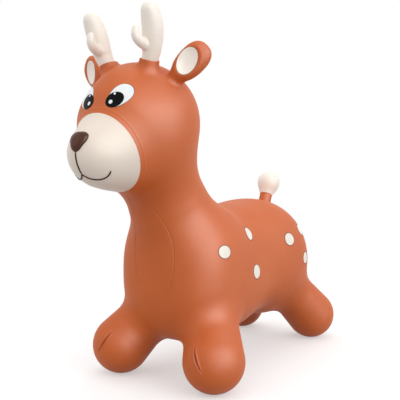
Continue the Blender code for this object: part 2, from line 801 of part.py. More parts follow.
def eye(surface, side):
    """The painted layers of one eye: white, pupil and two glints."""
    place, normal = surface.from_inside(HEAD, HEAD_HALF, np.array(EYE_PLACE_SHARES) * (side, 1, 1))
    pupil = np.array(PUPIL_STEP)
    layers = {
        "eye_white": (oval(EYE_HALF, EYE_TILT, side=side), 0),
        "pupil": (oval(PUPIL_HALF, EYE_TILT, pupil, side), 1),
        "glint": (oval([GLINT_RADIUS] * 2, 0, pupil + GLINT_STEP, side, TUBE_STEPS * 2), 2),
        "small_glint": (
            oval([SMALL_GLINT_RADIUS] * 2, 0, pupil + SMALL_GLINT_STEP, side, TUBE_STEPS),
            2,
        ),
    }
    shapes = {}
    for name, (outline, level) in layers.items():
        middle = outline.mean(axis=0)
        shift = middle @ np.array(tangents(normal))
        shapes[name] = mesh_of(
            *mound(surface, place + shift, normal, outline - middle, paint_profile(3 - level), level)
        )
    return shapes


def nose(surface):
    """A domed nose with three soft corners, one of them pointing down."""
    direction = (0, -math.cos(NOSE_RISE), math.sin(NOSE_RISE))
    place = surface.hit(MUZZLE, direction)
    angles = 2 * np.pi * np.arange(PATCH_STEPS) / PATCH_STEPS
    corners = 1 + NOSE_CORNER_SHARE * np.cos(3 * (angles + np.pi / 2))
    outline = circle(PATCH_STEPS) * (NOSE_RADIUS * corners)[:, None]
    dome = [
        (share, NOSE_EDGE + (NOSE_HEIGHT - NOSE_EDGE) * math.sqrt(1 - share**3))
        for share in NOSE_DOME_SHARES
    ]
    return mesh_of(*mound(surface, place, np.array(direction), outline, dome)), place


def mouth_path(surface, places):
    """Points on the muzzle's front, raised to clear it, and the front's direction at each."""
    front = np.array((0, -1, 0))
    middle = MUZZLE - (0, MUZZLE_HALF[1], 0)
    hits = surface.drop([middle + (x, 0, z) for x, z in places], front)
    normals = [unit((hit - MUZZLE) / np.square(MUZZLE_HALF)) for hit in hits]
    lift = GAP + MOUTH_LINE_RADIUS
    return [hit + lift * normal for hit, normal in zip(hits, normals)], normals


def mouth(surface, nose_place):
    """The smile, two arcs that meet in the middle, and the line from it up to the nose."""
    angles = np.linspace(*SMILE_ANGLES, PATCH_STEPS // 2 + 1)
    right = np.array(SMILE_CENTRE) + SMILE_RADIUS * np.stack([np.cos(angles), np.sin(angles)], 1)
    right[0, 0] = 0
    smile_places = np.concatenate([right[:0:-1] * (-1, 1), right])
    path, normals = mouth_path(surface, smile_places)
    smile = mesh_of(*tube(path, normals, MOUTH_LINE_RADIUS))
    low = right[0, 1] + 2 * MOUTH_LINE_RADIUS + GAP
    high = nose_place[2] - MUZZLE[2] - NOSE_RADIUS * (1 + NOSE_CORNER_SHARE) - LIP_TOP_DROP
    lip_places = [(0, z) for z in np.linspace(low, high, TUBE_STEPS)]
    path, normals = mouth_path(surface, lip_places)
    return smile, mesh_of(*tube(path, normals, MOUTH_LINE_RADIUS))


def tail(surface):
    """The stub with its ball root, the ball on it, and the middle of the root."""
    place, normal = surface.from_inside(RUMP, RUMP_HALF, TAIL_PLACE_SHARES)
    middle = place + TAIL_ROOT_STANDOFF * normal
    axis = np.array((0, math.sin(TAIL_LEAN), math.cos(TAIL_LEAN)))
    seat = TAIL_BALL_RADIUS + GAP
    waist = TAIL_BALL_STEP - math.sqrt(seat**2 - TAIL_STUB_RADIUS**2)
    angles = [math.asin(TAIL_STUB_RADIUS / seat) * i / 3 for i in range(3)]
    profile = [
        *ball_profile(TAIL_ROOT_RADIUS, BALL_STEPS[1])[: BALL_STEPS[1] // 2 + 1],
        (TAIL_STUB_RADIUS, waist),
        *((seat * math.sin(a), TAIL_BALL_STEP - seat * math.cos(a)) for a in reversed(angles)),
    ]
    stub = mesh_of(*turned(profile, middle, axis, BALL_STEPS[0]))
    ball = ball_profile(TAIL_BALL_RADIUS, BALL_STEPS[1] + 1)
    tip = mesh_of(*turned(ball, middle + TAIL_BALL_STEP * axis, axis, BALL_STEPS[0]))
    return stub, tip, middle


def valve(surface):
    """The valve's seat with its blind bore, and the plug in it, both opening downward."""
    place = surface.hit(BARREL, (0, 0, -1))
    down = unit(slopes(skin, place[None])[0])
    ring = circle(ROUND_STEPS) @ np.array(tangents(down))

    def level(radius, height):
        return place + radius * ring + height * down

    face = VALVE_FLANGE_THICKNESS + GAP
    deep = face - VALVE_BORE_DEPTH
    foot = surface.drop(place + VALVE_FLANGE_RADIUS * ring, down) + GAP * down
    under = surface.drop(place + VALVE_NECK_RADIUS * ring, down) + GAP * down
    seat_rings = [
        level(VALVE_BORE_RADIUS, deep),
        level(VALVE_BORE_RADIUS, face),
        level(VALVE_FLANGE_RADIUS - GAP, face),
        level(VALVE_FLANGE_RADIUS, face - PAINT),
        foot,
        under,
        level(VALVE_NECK_RADIUS, -VALVE_NECK_LENGTH),
    ]
    seat = wrap(seat_rings, place + deep * down, place - VALVE_NECK_LENGTH * down)
    cap = face + GAP
    stem = VALVE_BORE_RADIUS - GAP
    end = deep + PLUG_END_GAP
    plug_rings = [
        level(stem - PLUG_EASE, end),
        level(stem, end + PLUG_EASE),
        level(stem, cap),
        level(PLUG_CAP_RADIUS, cap),
        level(PLUG_CAP_RADIUS, cap + PLUG_CAP_THICKNESS - PLUG_EASE),
        level(PLUG_CAP_RADIUS - PLUG_EASE, cap + PLUG_CAP_THICKNESS),
    ]
    plug = wrap(plug_rings, place + end * down, place + (cap + PLUG_CAP_THICKNESS) * down)
    pocket = [
        (0, -VALVE_NECK_LENGTH - GAP),
        (VALVE_NECK_RADIUS + GAP, -VALVE_NECK_LENGTH - GAP),
        (VALVE_NECK_RADIUS + GAP, OVERRUN),
        (0, OVERRUN),
    ]
    shapes = mesh_of(*seat), mesh_of(*plug), mesh_of(*turned(pocket, place, down))
    return (*shapes, place)


def spots(surface):
    """Round painted spots on both flanks, each with its name."""
    for sign_name, side in SIDES.items():
        for number, (along, up, size) in enumerate(SPOT_SHARES, 1):
            middle = CHEST + np.clip(along, 0, 1) * (RUMP - CHEST)
            behind = CHEST[1] + along * (RUMP[1] - CHEST[1])
            height = middle[2] + up * CHEST_HALF[2]
            start = np.array((0, behind, height))
            out = np.array((side, 0, 0))
            place = surface.hit(start, out)
            normal = unit(slopes(skin, place[None])[0])
            outline = circle(PATCH_STEPS) * SPOT_RADIUS * size
            shape = mesh_of(*mound(surface, place, normal, outline, paint_profile()))
            yield f"spot_{number}_{sign_name}", shape


def build():
    """Every piece, on the pivot of the body that it moves with."""
    orange = finish("orange_vinyl", colour(214, 120, 80), 0.42)
    cream = finish("cream_vinyl", colour(243, 232, 220), 0.45)
    white = finish("white_paint", colour(250, 247, 244), 0.40)
    black = finish("black_paint", colour(22, 20, 22), 0.25)
    brown = finish("brown_paint", colour(92, 56, 40), 0.30)
    clear = finish("valve_plastic", colour(228, 226, 220), 0.35)
    shape = whole_skin()
    surface = Surface(shape, skin)
    floor_level = pivot("standing", (0, 0, 0))
    torso_pivot = pivot("bounce_pivot", BARREL, floor_level)
    neck_middle = (NECK[NECK_LOW_PARTING][0] + NECK[NECK_HIGH_PARTING][0]) / 2
    head_pivot = pivot("neck_pivot", neck_middle, torso_pivot)
    carriers = {"torso": torso_pivot, "neck": torso_pivot, "head": head_pivot, "muzzle": head_pivot}
    carriers |= {f"{kind}_{side}": floor_level for kind in LEGS for side in SIDES}
    torso, head = regions(shape, carriers, orange, cream)
    for name, side in SIDES.items():
        collar_shape, cup_middle = collar(surface, side)
        piece(f"antler_base_{name}", collar_shape, orange, head_pivot)
        antler_pivot = pivot(f"antler_pivot_{name}", cup_middle, head_pivot)
        beam, tine = antler(cup_middle, side)
        beam_piece = piece(f"antler_{name}", beam, cream, antler_pivot)
        cut(beam_piece, cutter(f"antler_tine_{name}", tine), "UNION")
        ear_shape, lining, ear_middle = ear(surface, side)
        ear_pivot = pivot(f"ear_pivot_{name}", ear_middle, head_pivot)
        piece(f"ear_{name}", ear_shape, orange, ear_pivot)
        piece(f"ear_lining_{name}", lining, cream, ear_pivot)
        socket = ball_cutter(f"ear_socket_{name}", ear_middle, EAR_ROOT_RADIUS + GAP)
        cut(head, socket, "DIFFERENCE")
        paints = {"eye_white": white, "pupil": black, "glint": white, "small_glint": white}
        for layer, layer_shape in eye(surface, side).items():
            piece(f"{layer}_{name}", layer_shape, paints[layer], head_pivot)
    nose_shape, nose_place = nose(surface)
    piece("nose", nose_shape, brown, head_pivot)
    smile, lip_line = mouth(Surface(shape), nose_place)
    piece("smile_line", smile, brown, head_pivot)
    piece("lip_line", lip_line, brown, head_pivot)
    stub, tip, tail_middle = tail(surface)
    tail_pivot = pivot("tail_pivot", tail_middle, torso_pivot)
    piece("tail_stub", stub, orange, tail_pivot)
    piece("tail_ball", tip, cream, tail_pivot)
    cut(torso, ball_cutter("tail_socket", tail_middle, TAIL_ROOT_RADIUS + GAP), "DIFFERENCE")
    seat, plug, pocket, valve_place = valve(surface)
    piece("valve_seat", seat, clear, torso_pivot)
    piece("air_plug", plug, clear, pivot("plug_pivot", valve_place, torso_pivot))
    cut(torso, cutter("valve_pocket", pocket), "DIFFERENCE")
    for name, spot in spots(surface):
        piece(name, spot, white, torso_pivot)


for scene_object in list(bpy.data.objects):
    bpy.data.objects.remove(scene_object, do_unlink=True)
build()
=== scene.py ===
"""Blown-up vinyl deer to ride on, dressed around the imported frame.

The skin is the zero surface of a field: balls and tapered limbs that swell into each other, with
fine seams and grooves pressed in. It is meshed once and parted into the pieces that move apart.
Collars, ears and the tail's root grow out of the same field. Paint is laid on it as thin patches.
+X is the animal's left, -Y the way it faces, +Z up, and lengths are metres.
"""

import json
import math

import bmesh
import bpy
import numpy as np
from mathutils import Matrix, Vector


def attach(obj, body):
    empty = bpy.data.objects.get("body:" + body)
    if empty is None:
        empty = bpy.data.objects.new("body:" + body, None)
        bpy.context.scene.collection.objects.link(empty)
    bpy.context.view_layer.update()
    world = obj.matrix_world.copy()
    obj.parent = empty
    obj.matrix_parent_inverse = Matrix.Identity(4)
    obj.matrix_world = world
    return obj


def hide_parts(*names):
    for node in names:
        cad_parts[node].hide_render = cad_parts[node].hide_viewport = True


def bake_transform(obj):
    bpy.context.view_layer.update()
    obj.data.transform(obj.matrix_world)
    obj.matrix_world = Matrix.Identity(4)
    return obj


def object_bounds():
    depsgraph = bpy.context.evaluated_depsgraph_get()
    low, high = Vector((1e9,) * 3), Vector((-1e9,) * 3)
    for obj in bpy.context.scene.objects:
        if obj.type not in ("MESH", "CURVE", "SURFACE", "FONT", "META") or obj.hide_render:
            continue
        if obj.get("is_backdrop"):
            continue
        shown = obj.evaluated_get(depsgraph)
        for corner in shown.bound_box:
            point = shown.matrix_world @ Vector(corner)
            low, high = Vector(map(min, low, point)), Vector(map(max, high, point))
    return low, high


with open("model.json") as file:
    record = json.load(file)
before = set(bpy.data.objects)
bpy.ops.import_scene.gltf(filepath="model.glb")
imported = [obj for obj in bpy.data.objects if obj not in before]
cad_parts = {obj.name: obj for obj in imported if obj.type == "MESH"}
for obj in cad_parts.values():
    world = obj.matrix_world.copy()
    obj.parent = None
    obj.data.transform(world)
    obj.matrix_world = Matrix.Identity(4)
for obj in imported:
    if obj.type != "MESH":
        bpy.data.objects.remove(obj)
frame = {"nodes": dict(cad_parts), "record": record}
cad_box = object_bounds()

# Camera, as fitted to the toy's outline in a square picture
PICTURE_SIDE = 400
CAMERA_PLACE = (0.5852, -0.8969, 0.3337)
CAMERA_AZIMUTH = math.radians(33.595)
FOCAL_PIXELS = 618.41
HORIZON_PIXEL = 172.45
SENSOR_WIDTH = 36.0

# Mesh fineness: fields are worked out in full near their surface and by blocks of cells elsewhere
SKIN_CELL = 0.0030
FORM_CELL = 0.0014
BLOCK = 4
FAR_CELLS = 8
FINE_CUTS = 4
FINE_SPREAD = 3.0
FINE_FROM_SHARE = 0.05
ROUND = 64

# How a slope is sampled, and how points are brought onto a surface
SAMPLE_STEP = 0.0001
SETTLE_ROUNDS = 3
SEAT_ROUNDS = 6
LEAST_SLOPE = 0.2
LEAST_SLOPE_2 = 1e-6
TINY = 1e-9

# Paint: its height, the stretch where it is even, its rounded edge as (share of the way to the
# rim, share of the height) pairs, and the rings of its underside
PAINT = 0.0003
PAINT_ROWS = 10
PAINT_EVEN_SHARES = (0.02, 0.92)
PAINT_EDGE_SHARES = ((0.96, 0.97), (0.985, 0.80), (1.0, 0.40))
UNDERSIDE_SHARES = (1.0, 0.8, 0.6, 0.4, 0.2, 0.02)

# How deep hidden undersides lie, and the rims and ends of forms that grow out of the skin
SUNK = 0.0004
ROOT_SINK = 0.00006
ROOT_DEPTH = 0.006

# Trunk: places are (behind the origin, above the floor) or (behind, above) the ball before
CHEST_PLACE = (-0.0618, 0.170)
CHEST_HALF = (0.1005, 0.0837, 0.1110)
CHEST_FULLNESS = 2.59
BARREL_STEP = (0.157, 0.015)
BARREL_HALF = (0.0942, 0.1240, 0.0933)
BARREL_FULLNESS = 2.28
RUMP_STEP = (0.0872, -0.0222)
RUMP_HALF = (0.1013, 0.0903, 0.1053)
RUMP_FULLNESS = 2.04
TRUNK_FILLET = 0.0620
BELLY_STEP = (0.082, -0.035)
BELLY_HALF = (0.0860, 0.1050, 0.0760)
BELLY_FILLET = 0.040

# Neck: (behind the chest's middle, above it, radius), from its root upward
NECK_STATIONS = (
    (0.0056, 0.0430, 0.0768),
    (-0.0414, 0.1087, 0.0588),
    (-0.0779, 0.1670, 0.0586),
    (-0.1212, 0.2092, 0.0765),
)
NECK_STATION_FILLET = 0.020
NECK_FILLET = 0.0296
NECK_LEAN = math.radians(33.5)

# Head and muzzle: steps are (behind, above), and FACE_WAY is how the flat beside the eye faces
HEAD_STEP = (0.0054, 0.0364)
HEAD_HALF = (0.0861, 0.0845, 0.0796)
HEAD_FILLET = 0.0438
FACE_WAY = (0.683, -0.452, 0.573)
FACE_SHARE = 0.985
FACE_EDGE = 0.020
MUZZLE_STEP = (-0.0662, -0.0560)
MUZZLE_HALF = (0.0496, 0.0668, 0.0504)
MUZZLE_FILLET = 0.0259
MUZZLE_BORDER_FORWARD = 0.0056
MUZZLE_BORDER_TILT = math.radians(23.5)

# Legs: hips are (outward, behind, above) the ball that carries them, feet (outward, behind) the hip
FRONT_HIP_STEP = (0.0530, -0.0019, -0.0607)
FRONT_HIP_RADIUS = 0.0395
FRONT_FOOT_STEP = (0.0383, -0.0518)
FRONT_FOOT_RADIUS = 0.0479
REAR_HIP_STEP = (0.0499, 0.0198, -0.0454)
REAR_HIP_RADIUS = 0.0404
REAR_FOOT_STEP = (0.0303, 0.0670)
REAR_FOOT_RADIUS = 0.0471
LEG_FILLET = 0.0235
SOLE_FLAT_DEPTH = 0.0005

# Seams and grooves pressed into the skin
RIM_BEHIND = 0.0062
RIM_HEIGHT = 0.00028
RIM_WIDTH = 0.0009
SEAM_OUT = 0.0375
SEAM_MIDDLE = 0.205
SEAM_HALF_HEIGHT = 0.107
SEAM_ENDS = (0.148, 0.312)
SEAM_DEPTH = 0.0005
SEAM_WIDTH = 0.0009
SEAM_FADE = 0.012
CREASE_TOP = (0.0784, -0.1580, 0.0856)
CREASE_FOOT = (0.1023, -0.1714, 0.0437)
CREASE_BOW = 0.0022
CREASE_DEPTH = 0.0022
CREASE_WIDTH = 0.0012
CREASE_LIP = 0.0013
CREASE_LIP_OUT = 0.0030
CREASE_LIP_WIDTH = 0.0016
CREASE_REACH = 0.030
CREASE_TAPER = 0.75

# Antlers and their collars: stations are (x, y, z, radius) from the middle of the antler's root
COLLAR_LEAN_OUT = math.radians(15.0)
COLLAR_LEAN_FORWARD = math.radians(8.0)
COLLAR_OUT = 0.0012
COLLAR_RADIUS = 0.0137
COLLAR_FOOT_RADIUS = 0.0150
COLLAR_TOP_UNDER = 0.0044
COLLAR_DEPTH = 0.026
COLLAR_EDGE = 0.0012
COLLAR_FILLET = 0.0095
BEAM_STATIONS = (
    (0.0, 0.0, -0.0060, 0.0119),
    (0.0078, -0.0040, 0.0160, 0.0141),
    (0.0122, -0.0092, 0.0380, 0.0153),
    (0.0143, -0.0180, 0.0575, 0.0126),
)
TINE_STATIONS = (
    (0.0040, -0.0090, 0.0120, 0.0080),
    (0.0034, -0.0225, 0.0145, 0.0072),
    (0.0020, -0.0318, 0.0205, 0.0064),
    (0.0018, -0.0330, 0.0315, 0.0051),
)
HORN_STEPS = 12
TINE_FILLET = 0.0030
ANTLER_BEND_FROM = -0.004
ANTLER_BEND_TO = 0.022

# Ears, from the middle of their root: (across toward the head, out of the front, along)
EAR_TURN_OUT = math.radians(46.0)
EAR_FACE_OUT = math.radians(24.0)
EAR_ROOT_RADIUS = 0.0125
EAR_NECK_RADIUS = 0.0120
EAR_ROOT_DOWN = 0.012
EAR_NECK_STEP = (0.0, 0.0040, 0.0125)
EAR_LEAF_STEP = (-0.0012, 0.0085, 0.0344)
EAR_LEAF_HALF = (0.0206, 0.0125, 0.0290)
EAR_LEAF_FULLNESS = 2.45
EAR_FILLET = 0.012
EAR_ROOT_FILLET = 0.0060
EAR_DISH_STEP = (0.0014, 0.0240, 0.0284)
EAR_DISH_HALF = (0.0178, 0.0100, 0.0250)
EAR_DISH_TURN = math.radians(-18.0)
EAR_DISH_EDGE = 0.0026
EAR_LINING_HALF = (0.0142, 0.0206)
EAR_BEND = (0.004, 0.026)

# Tail, from the middle of its root
TAIL_LEAN = math.radians(25.0)
TAIL_STUB_RADII = (0.0132, 0.0112)
TAIL_ROOT_DOWN = 0.016
TAIL_ROOT_FILLET = 0.0050
TAIL_PAINT_AT = 0.0240
TAIL_BALL_AT = 0.0510
TAIL_BALL_RADIUS = 0.0222
TAIL_BALL_FILLET = 0.013
TAIL_BEND = (0.006, 0.024)

# Face: places lie beside the skin and are seated on it
EYE_PLACE = (0.0297, -0.2566, 0.4378)
EYE_HALF = (0.0218, 0.0150)
EYE_TILT = math.radians(45.0)
EYE_EGG_SHARE = 0.16
EYE_PAINT_ROWS = 8
PUPIL_PLACE = (0.0243, -0.2611, 0.4322)
PUPIL_HALF = (0.0138, 0.0112)
PUPIL_TILT = math.radians(22.0)
GLINT_PLACE = (0.0196, -0.2635, 0.4289)
GLINT_RADIUS = 0.0029
SMALL_GLINT_PLACE = (0.0227, -0.2582, 0.4400)
SMALL_GLINT_RADIUS = 0.0017
NOSE_RADIUS = 0.0142
NOSE_CORNER_SHARE = 0.12
NOSE_HEIGHT = 0.0044
NOSE_RISE = math.radians(14.6)
NOSE_ROWS = 22
NOSE_DOME_POWER = 3.2
LINE_RADIUS = 0.0011
LINE_RAISE = 0.00015
LINE_SIDES = 12
LINE_POINT_ROWS = 3
LINE_POINT_START = 0.3
SMILE_RADIUS = 0.0206
SMILE_CENTRE = (0.0156, -0.0148)
SMILE_ANGLES = (math.radians(-138.5), math.radians(-24.3))
SMILE_ROWS = 40
LIP_ROWS = 30
LIP_TOP_DROP = 0.0015

# Spots of a flank: (behind, above) the origin
SPOT_PLACES = (
    (-0.0899, 0.2119),
    (0.0083, 0.2313),
    (0.0098, 0.1685),
    (0.1296, 0.2123),
    (0.1845, 0.1726),
    (0.1900, 0.2245),
)
SPOT_WIDTH_SHARES = (1.25, 1.05, 1.05, 1.25, 1.1, 1.1)

# Air valve: the plug's chamfer is (inward, along)
FLANGE_RADIUS = 0.0130
FLANGE_HEIGHT = 0.0024
PLUG_RADIUS = 0.0088
PLUG_HEIGHT = 0.0026
PLUG_STEM_RADIUS = 0.0046
PLUG_STEM_LENGTH = 0.0090
PLUG_GAP = 0.0004
PLUG_CHAMFER = (0.0004, 0.0008)
VALVE_ROOT = 0.0016
VALVE_EDGE = 0.0008
VALVE_EDGE_STEPS = 5
POLE_SHARE = 0.05

# Floor and room: how the floor looks near and far, what of it lights the toy, and the world
FLOOR_TONE = 0.60
FLOOR_GLOW = 0.42
BOUNCE_TONE = 0.42
FLOOR_NEAR = 0.55
FLOOR_FAR = 1.30
FLOOR_HALF = 12.0
WORLD_LIGHT = 0.96
PLAIN_WHITE = (1, 1, 1, 1)
SEEN_BY = ("Camera", "Glossy", "Transmission")

# Lamps: name, place, point faced, side length, watts, and if they light matt surfaces
LAMPS = (
    ("key", (2.25, -0.3, 1.2), (0.05, 0, 0.25), 1.7, 18, True),
    ("sheen", (2.10, -0.6, 1.0), (0.05, 0, 0.25), 3.3, 220, False),
    ("fill", (-0.9, -2.0, 1.5), (0, 0, 0.35), 1.8, 5, True),
    ("top", (-0.2, 0.3, 2.2), (0, 0, 0.2), 1.6, 6, True),
)

SIDES = {"left": 1, "right": -1}
MIRROR = (-1, 1, 1)


def smooth(value):
    """Zero below 0, one above 1, and the soft step v^2 (3 - 2 v) between."""
    value = np.clip(value, 0, 1)
    return value * value * (3 - 2 * value)


def unit(vector):
    """The vector, or each row of vectors, at length one."""
    vector = np.asarray(vector, float)
    return vector / np.linalg.norm(vector, axis=-1, keepdims=True)


def blob(points, centre, half, fullness=2.0):
    """Distance to an ellipsoid, or to a squarer one where fullness is over 2.

    The reach is (|x/a|^n + |y/b|^n + |z/c|^n)^(1/n), and reach - 1 is divided by its slope.
    """
    scaled = np.abs((points - centre) / half) + TINY
    reach = (scaled**fullness).sum(-1) ** (1 / fullness)
    slope = reach[:, None] ** (1 - fullness) * scaled ** (fullness - 1) / half
    return (reach - 1) / np.maximum(np.linalg.norm(slope, axis=-1), TINY)


def limb(points, start, start_radius, end, end_radius):
    """Distance to two balls and the cone that wraps both.

    Beside the cone it is (across * sqrt(length^2 - taper^2) + rise * taper) / length less the
    first radius, with rise the way along the axis, and past its ends it is that to the ball there.
    """
    along = np.subtract(end, start)
    length_2 = along @ along
    taper = start_radius - end_radius
    cone_2 = length_2 - taper**2
    offset = points - start
    rise = offset @ along
    past = rise - length_2
    across_2 = ((offset * length_2 - rise[:, None] * along) ** 2).sum(-1)
    rise_2 = rise**2 * length_2
    past_2 = past**2 * length_2
    side = np.sign(taper) * taper**2 * across_2
    distance = (np.sqrt(across_2 * cone_2 / length_2) + rise * taper) / length_2 - start_radius
    at_start = np.sign(rise) * cone_2 * rise_2 < side
    at_end = np.sign(past) * cone_2 * past_2 > side
    distance = np.where(at_start, np.sqrt(across_2 + rise_2) / length_2 - start_radius, distance)
    return np.where(at_end, np.sqrt(across_2 + past_2) / length_2 - end_radius, distance)


def swell(first, second, fillet):
    """The nearer of two distances, with a rounded valley of this width between them.

    The lesser distance is lowered by fillet / 4 times the square of 1 - |difference| / fillet,
    where that is above zero.
    """
    overlap = np.maximum(fillet - np.abs(first - second), 0) / fillet
    return np.minimum(first, second) - overlap**2 * fillet / 4


def trim(first, second, edge):
    """What lies within both distances: the greater one, its edge rounded as a swell turned over."""
    return -swell(-first, -second, edge)


def horn(points, stations, fillet):
    """Limbs in a row through (x, y, z, radius) stations, swelling into each other."""
    whole = None
    for low, high in zip(stations, stations[1:]):
        part = limb(points, low[:3], low[3], high[:3], high[3])
        whole = part if whole is None else swell(whole, part, fillet)
    return whole


def bent(stations, steps):
    """Stations close together on one smooth curve through these.

    Each of their values is the polynomial, in the station's rank, that meets them all.
    """
    stations = np.array(stations)
    ranks = np.arange(len(stations))
    finer = np.linspace(0, ranks[-1], steps)
    return np.stack([np.polyval(np.polyfit(ranks, row, ranks[-1]), finer) for row in stations.T], 1)


CHEST = np.array((0, *CHEST_PLACE))
BARREL = CHEST + (0, *BARREL_STEP)
RUMP = BARREL + (0, *RUMP_STEP)
BELLY = CHEST + (0, *BELLY_STEP)
NECK = [(*(CHEST + (0, behind, above)), radius) for behind, above, radius in NECK_STATIONS]
HEAD = NECK[-1][:3] + np.array((0, *HEAD_STEP))
MUZZLE = HEAD + (0, *MUZZLE_STEP)
FACE = np.array(FACE_WAY)
FACE_REACH = FACE_SHARE * np.linalg.norm(FACE * HEAD_HALF)
BORDER = MUZZLE + (0, -MUZZLE_BORDER_FORWARD, 0)
BORDER_WAY = np.array((0, -math.cos(MUZZLE_BORDER_TILT), -math.sin(MUZZLE_BORDER_TILT)))
NECK_WAY = np.array((0, -math.sin(NECK_LEAN), math.cos(NECK_LEAN)))
NECK_LOW = np.array(NECK[1][:3])
NECK_HIGH = NECK_LOW + NECK_WAY * ((np.array(NECK[2][:3]) - NECK_LOW) @ NECK_WAY)


def leg(carrier, hip_step, hip_radius, foot_step, foot_radius):
    """The left hip and foot as (x, y, z, radius) stations."""
    hip = carrier + hip_step
    foot = (hip[0] + foot_step[0], hip[1] + foot_step[1], foot_radius - SOLE_FLAT_DEPTH)
    return ((*hip, hip_radius), (*foot, foot_radius))


FRONT_LEG = leg(CHEST, FRONT_HIP_STEP, FRONT_HIP_RADIUS, FRONT_FOOT_STEP, FRONT_FOOT_RADIUS)
REAR_LEG = leg(RUMP, REAR_HIP_STEP, REAR_HIP_RADIUS, REAR_FOOT_STEP, REAR_FOOT_RADIUS)


def mirrored(points):
    """The points with the right half folded onto the left."""
    return np.concatenate([np.abs(points[:, :1]), points[:, 1:]], axis=1)


def plain_skin(points):
    """Distance to the blown-up skin without its seams."""
    points = mirrored(points)
    trunk = swell(
        blob(points, BARREL, BARREL_HALF, BARREL_FULLNESS),
        blob(points, CHEST, CHEST_HALF, CHEST_FULLNESS),
        TRUNK_FILLET,
    )
    trunk = swell(trunk, blob(points, RUMP, RUMP_HALF, RUMP_FULLNESS), TRUNK_FILLET)
    trunk = swell(trunk, blob(points, BELLY, BELLY_HALF), BELLY_FILLET)
    neck = horn(points, NECK, NECK_STATION_FILLET)
    head = trim(blob(points, HEAD, HEAD_HALF), (points - HEAD) @ FACE - FACE_REACH, FACE_EDGE)
    neck = swell(neck, head, HEAD_FILLET)
    body = swell(trunk, neck, NECK_FILLET)
    for stations in (FRONT_LEG, REAR_LEG):
        body = swell(body, horn(points, stations, LEG_FILLET), LEG_FILLET)
    return swell(body, blob(points, MUZZLE, MUZZLE_HALF), MUZZLE_FILLET)


def bell(distance, width):
    """The bell exp(-(distance / width)^2): one on a line, falling off to its sides."""
    return np.exp(-((distance / width) ** 2))


def relief(points, spread=1.0):
    """How far seams and lips stand out of the skin, with widths times the spread.

    Each is a bell across its line, times its height and what fades it out along the line. Round
    the muzzle runs a low rim, down each side of the chest a seam that bows outward as 1 - rise^2,
    and on the front of each fore foot a crease between two lips that meet at its ends. The crease
    bows as the lens 4 share (1 - share) of the way down it.
    """
    points = mirrored(points)
    ahead = (points - BORDER) @ BORDER_WAY + RIM_BEHIND
    at_muzzle = smooth(2 - np.linalg.norm(points - MUZZLE, axis=-1) / MUZZLE_HALF[1])
    height = RIM_HEIGHT * at_muzzle * bell(ahead, RIM_WIDTH * spread)

    rise = (points[:, 2] - SEAM_MIDDLE) / SEAM_HALF_HEIGHT
    steep = 2 * rise * SEAM_OUT / SEAM_HALF_HEIGHT
    beside = (points[:, 0] - SEAM_OUT * (1 - rise**2)) / np.sqrt(1 + steep**2)
    low, high = SEAM_ENDS
    run = smooth((points[:, 2] - low) / SEAM_FADE) * smooth((high - points[:, 2]) / SEAM_FADE)
    run = run * (points[:, 1] < CHEST[1])
    height = height - SEAM_DEPTH * run * bell(beside, SEAM_WIDTH * spread)

    top, foot = np.array(CREASE_TOP), np.array(CREASE_FOOT)
    middle = (top + foot) / 2
    out = unit(middle - FRONT_LEG[1][:3])
    along = unit(foot - top)
    side = np.cross(along, out)
    share = np.clip((points - top) @ along / np.linalg.norm(foot - top), 0, 1)
    lens = 4 * share * (1 - share)
    near = (np.linalg.norm(points - middle, axis=-1) < CREASE_REACH) * lens**CREASE_TAPER
    beside = (points - top) @ side - CREASE_BOW * lens
    lip = np.abs(beside) - CREASE_LIP_OUT * lens
    height = height - CREASE_DEPTH * near * bell(beside, CREASE_WIDTH * spread)
    return height + CREASE_LIP * near * bell(lip, CREASE_LIP_WIDTH * spread)


def skin(points):
    """Distance to the skin with its seams and grooves."""
    return plain_skin(points) - relief(points)


def slopes(field, points):
    """The field's slope at each point, from pairs of samples on the three axes."""
    steps = SAMPLE_STEP * np.eye(3)
    rises = [field(points + step) - field(points - step) for step in steps]
    return np.stack(rises, axis=-1) / (2 * SAMPLE_STEP)


def settle(field, points):
    """Moves points onto the field's zero surface, by -value / slope^2 times the slope."""
    for _ in range(SETTLE_ROUNDS):
        slope = slopes(field, points)
        slope_2 = np.maximum((slope**2).sum(-1), LEAST_SLOPE_2)
        points = points - (field(points) / slope_2)[:, None] * slope
    return points


def seat(field, points, way):
    """Slides points along one direction onto the field's zero surface, by -value / slope."""
    flat = points.reshape(-1, 3)
    for _ in range(SEAT_ROUNDS):
        ahead, behind = flat + SAMPLE_STEP * way, flat - SAMPLE_STEP * way
        slope = (field(ahead) - field(behind)) / (2 * SAMPLE_STEP)
        flat = flat - (field(flat) / np.maximum(slope, LEAST_SLOPE))[:, None] * way
    return flat.reshape(points.shape)


def sampled(field, start, counts, cell):
    """The field on a grid: in full near the surface, and by blocks away from it."""
    axes = [start[i] + cell * np.arange(counts[i]) for i in range(3)]
    coarse_axes = [axis[::BLOCK] for axis in axes]
    shape = [len(axis) for axis in coarse_axes]
    grid = np.stack(np.meshgrid(*coarse_axes, indexing="ij"), axis=-1)
    values = field(grid.reshape(-1, 3)).reshape(shape)
    for axis in range(3):
        values = values.repeat(BLOCK, axis)
    values = values[: counts[0], : counts[1], : counts[2]].copy()
    near = np.argwhere(np.abs(values) < FAR_CELLS * cell)
    values[tuple(near.T)] = field(start + cell * near)
    return values


